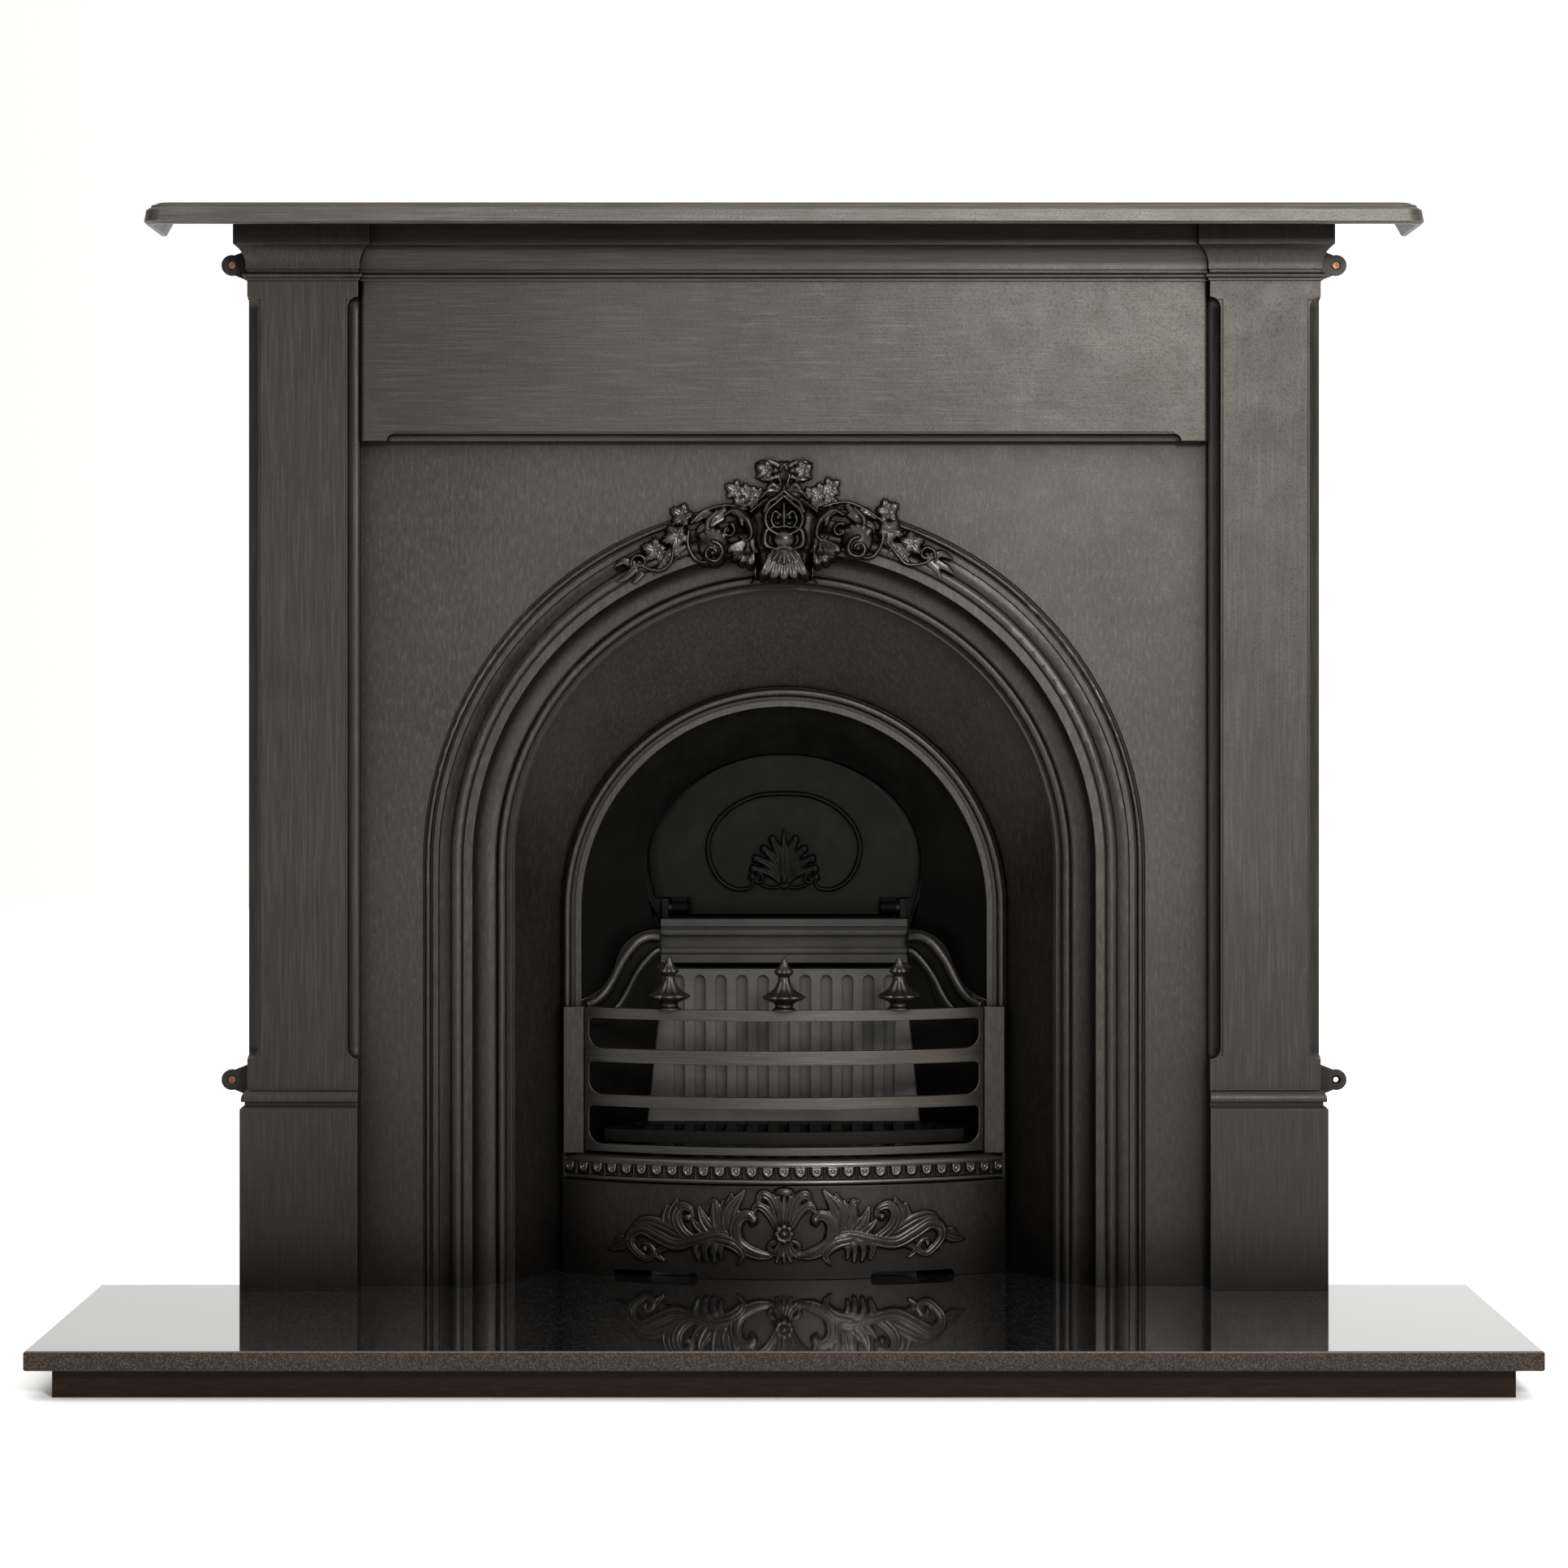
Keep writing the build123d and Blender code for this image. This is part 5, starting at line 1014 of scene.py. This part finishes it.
# ---- cheek rolls --------------------------------------------------------------------------
def make_cheek_rolls():
    """Two rounded rolls along the S-shaped head of each cheek, a broad one above a thin one."""
    line = [(143, 433), (158, 434), (172, 428), (184, 414), (192, 401), (200, 385), (209, 371), (220, 361),
            (229, 357)]
    for side, name in ((-1, "left"), (1, "right")):
        for label, drop_x, drop_z, radius in (("upper", -3.0, -5.0, 6.2), ("lower", -18.5, -20.5, 4.2)):
            path = smooth_path([(x + drop_x * min(1, (x - 130) / 40), z + drop_z) for x, z in line], 60)
            path = path[path[:, 0] > 143.5]
            face = cheek_face(path[:, 0], path[:, 1])
            points = np.column_stack((side * path[:, 0], face + 3.6, path[:, 1]))
            tube("%s_cheek_roll_%s" % (name, label), points, radius, "surround", "insert_iron", flat=0.9,
                 sides=16)


def cheek_face(x, z):
    """How far forward the cheek's inner face stands at x and z."""
    low, high, ring_half, ring_p = 190.0, 391.0, 231.4, -118.0
    share = (z - low) / (high - low)
    end_x, end_p = 158.0 - 22.0 * share, -205.0 + 45.0 * share
    return ring_p + (x - ring_half) * (end_p - ring_p) / (end_x - ring_half)


# ---- damper -------------------------------------------------------------------------------
DAMPER_FOOT, DAMPER_SHOULDER, DAMPER_TOP, DAMPER_HALF = 449.0, 515.0, 638.4, 157.2
DAMPER_BACK, DAMPER_FRONT = -186.5, -180.0
HINGE_P, HINGE_Z = -177.0, 461.0


def panel_half_width(z):
    """Half width of the damper's horseshoe outline at a height."""
    foot = (z - DAMPER_FOOT) / (DAMPER_SHOULDER - DAMPER_FOOT)
    side = DAMPER_HALF - 18.7 * (1 - np.clip(foot, 0, 1)) ** 1.7
    rise = (z - DAMPER_SHOULDER) / (DAMPER_TOP - DAMPER_SHOULDER)
    return np.where(foot < 1, side, DAMPER_HALF * np.sqrt(np.clip(1 - rise ** 2, 0, 1)))


def damper_piece(name, points, faces, finish):
    return piece(name, points, faces, "damper", "chamber_iron", ["damper_door"], finish)


def make_damper_panel():
    """The horseshoe plate, narrower at its foot to leave room for the hinges."""
    soft, notch_in, notch_top, foot = 1.6, 111.7, 473.2, 453.2
    crown = DAMPER_SHOULDER + 123.35 * np.sin(np.linspace(0.02, 1, 44) * pi / 2)
    z = np.concatenate([[foot], np.linspace(foot + 0.5, notch_top - 0.02, 8),
                        np.linspace(notch_top, DAMPER_SHOULDER, 12), crown])
    half = np.maximum(np.where(z < notch_top, notch_in, panel_half_width(z)), 0.8)
    x = half[:, None] * np.linspace(-1, 1, 49)
    gap = np.minimum(half[:, None] - np.abs(x), (DAMPER_TOP - z)[:, None])
    height = np.broadcast_to(z[:, None], x.shape)
    front, back = DAMPER_FRONT - rounding(gap, soft), np.full(x.shape, DAMPER_BACK)
    sharpen(damper_piece("damper_panel", *closed_plate(x, height, front, back), DAMPER_IRON))


def make_hinge_barrel(side, name):
    """A tube round the pin, with a web behind it that runs up into the panel."""
    near, far, outer, inner, web_top, sides = 112.2, 129.8, 6.9, 4.1, 475.0, 32
    barrel = []
    for x_end, radius in ((near, outer), (far, outer), (far, inner), (near, inner)):
        for a in np.linspace(0, 2 * pi, sides, endpoint=False):
            in_web = radius == outer and sin(a) > 0 and cos(a) < -0.43
            barrel.append((side * x_end, HINGE_P + radius * cos(a),
                           web_top if in_web else HINGE_Z + radius * sin(a)))
    quads = grid_faces(4, sides, close_rows=True, close_columns=True)
    if side < 0:
        quads = [tuple(quad[::-1]) for quad in quads]
    sharpen(damper_piece(name + "_hinge_barrel", barrel, quads, SOOTED_IRON))


def make_damper_moulding():
    """The D-shaped bead and the palmette that stands in it."""
    relief = Relief((-98, 476), (98, 602), 0.8)
    bead = [(0, 593.5), (30, 591), (58, 579), (78, 560), (87.5, 538), (86, 515), (75, 494), (58, 483),
            (42, 483), (36.5, 489), (38, 496)]
    relief.pair(bead, (6.5, 6.5, 6.5, 6.5, 6.5, 6.5, 6.5, 6, 5, 4.5, 4), (4.4,) * 11, count=90)
    relief.balls(37, 496.5, 5.2, 5.2)
    root = 488
    for tip_x, tip_z, width in ((13.4, 541, 15), (23.5, 530, 14), (33.0, 519, 13), (36, 507, 10)):
        relief.pair([(2.5, root), (tip_x * 0.42, root + (tip_z - root) * 0.62), (tip_x, tip_z)],
                    (4, width, 9), (3, 5, 5.4), lines=MID, blunt=3)
        relief.balls(tip_x, tip_z - 2.0, 5.0, 5.8)
    for side in (-1, 1):
        relief.volute(side * 30, 494, 7, 0.9, 90, side, (5, 4.4, 3.4), (4.6, 4.6, 4.2))
    relief.pair([(3, 486), (14, 484), (26, 487)], (4, 5, 4), (4, 4.4, 4))
    relief.stroke([(0, 484), (0, 515), (0, 551)], (6, 17, 2.5), (4, 5.6, 4), lines=MID, blunt=3)
    relief.ball(0, 494, 5.0, 5.8, flat=1.6)
    height = np.minimum(relief.height, 5.9)
    front = DAMPER_FRONT + np.maximum(height, -1.3)
    back = np.full(front.shape, DAMPER_FRONT - 2.4)
    points, faces, used = sheet_solid(relief.x, relief.z, front, back, lowest_corner(height) > -1.2)
    made = damper_piece("damper_moulding", points, faces, DAMPER_IRON)
    # Painted highlight on the crests and painted shade in the hollows.
    proud = relief.cavity(np.maximum(height, -0.5), 4.0, 2.4)[used]
    set_cavity(made, np.concatenate([proud, np.zeros(len(proud))]))


def make_damper():
    make_damper_panel()
    make_hinge_barrel(-1, "left")
    make_hinge_barrel(1, "right")
    make_damper_moulding()


def make_hood_lip():
    """A rolled lip behind the hood's foot that shuts the slits beside the damper's hinges."""
    section = [(-200.4, 452), (-200.4, 473), (-201.0, 476), (-202.6, 477.6), (-204.4, 477.4), (-205.6, 475.8),
               (-205.8, 473), (-204.6, 470.6), (-203.6, 467), (-203.4, 452)]
    stations = [(-160, 0.55), (-158.5, 0.85), (-155, 1.0), (155, 1.0), (158.5, 0.85), (160, 0.55)]
    middle_p, middle_z, points = -203, 464, []
    for x, size in stations:
        for p, z in section:
            points.append((x, middle_p + (p - middle_p) * size, middle_z + (z - middle_z) * size))
    faces = capped_rings(len(stations), len(section))
    sharpen(piece("hood_lip", points, faces, "surround", "chamber_iron", finish=SOOTED_IRON))


make_cheek_rolls()
make_damper()
make_hood_lip()
make_cover_plate()
make_cover_scrolls()
make_knob()
make_finials()
make_ledge()
make_keystone()


# ---- stage --------------------------------------------------------------------------------
def make_floor():
    """A plain pale floor, far wider than the picture."""
    s = Shader("pale_floor")
    mottle = s.noise(3, 4)
    body = s.mix(s.span(mottle, 0.3, 0.7), (0.96, 0.96, 0.955, 1), (0.98, 0.98, 0.975, 1))
    normal = s.bump(s.noise(220, 3), 0.0003, 0.15)
    s.finish(body, s.span(mottle, 0.3, 0.7, 0.55, 0.65), normal)
    half, steps = 9.0, 12
    line = np.linspace(-half, half, steps)
    points = [(x, y, 0.0) for y in line for x in line]
    mesh = bpy.data.meshes.new("studio_floor")
    mesh.from_pydata(points, [], grid_faces(steps, steps))
    mesh.materials.append(s.material)
    floor = bpy.data.objects.new("studio_floor", mesh)
    scene.collection.objects.link(floor)


def make_key_light():
    """One large soft lamp, high in front and a little to the right."""
    data = bpy.data.lights.new("key", "AREA")
    data.shape = "RECTANGLE"
    data.size, data.size_y = 0.7, 0.7
    data.energy = 135
    data.color = (1, 0.975, 0.95)
    lamp = bpy.data.objects.new("key", data)
    scene.collection.objects.link(lamp)
    place, target = Vector((1.05, -4.1, 2.0)), Vector((0.2, 0, 0.9))
    lamp.location = place
    lamp.rotation_mode = "QUATERNION"
    lamp.rotation_quaternion = (target - place).to_track_quat("-Z", "Y")


def make_world():
    """Plain white behind and above the mantel, dimmer from the front and dimmest from the left."""
    world = bpy.data.worlds.new("studio")
    scene.world = world
    world.use_nodes = True
    n = Nodes(world.node_tree)
    towards = n.axes(n.add("ShaderNodeTexCoord").outputs["Generated"])
    behind = n.span(towards["Y"], 0.1, 0.7, 0.36, 1.05, "SMOOTHSTEP")
    right = n.span(towards["X"], -0.7, 0.7, -0.22, 0.34, "SMOOTHSTEP")
    above = n.span(towards["Z"], 0.4, 1.0, 0.0, 1.7, "SMOOTHSTEP")
    ground = world.node_tree.nodes["Background"]
    ground.inputs["Color"].default_value = (1.0, 0.995, 0.985, 1)
    n.link(n.maths("ADD", n.maths("ADD", behind, right), above), ground.inputs["Strength"])


def make_camera():
    """Level camera in front of the middle, as far away as the photograph was taken from."""
    distance, height, lens, drop = 4.480, 0.706, 92.24, -0.0559
    data = bpy.data.cameras.new("camera")
    data.lens = lens
    data.shift_y = drop
    camera = bpy.data.objects.new("camera", data)
    scene.collection.objects.link(camera)
    camera.location = (0, WALL_Y - distance, height)
    camera.rotation_euler = (pi / 2, 0, 0)
    scene.camera = camera


make_camera()
make_floor()
make_world()
make_key_light()
scene.view_settings.view_transform = "Standard"
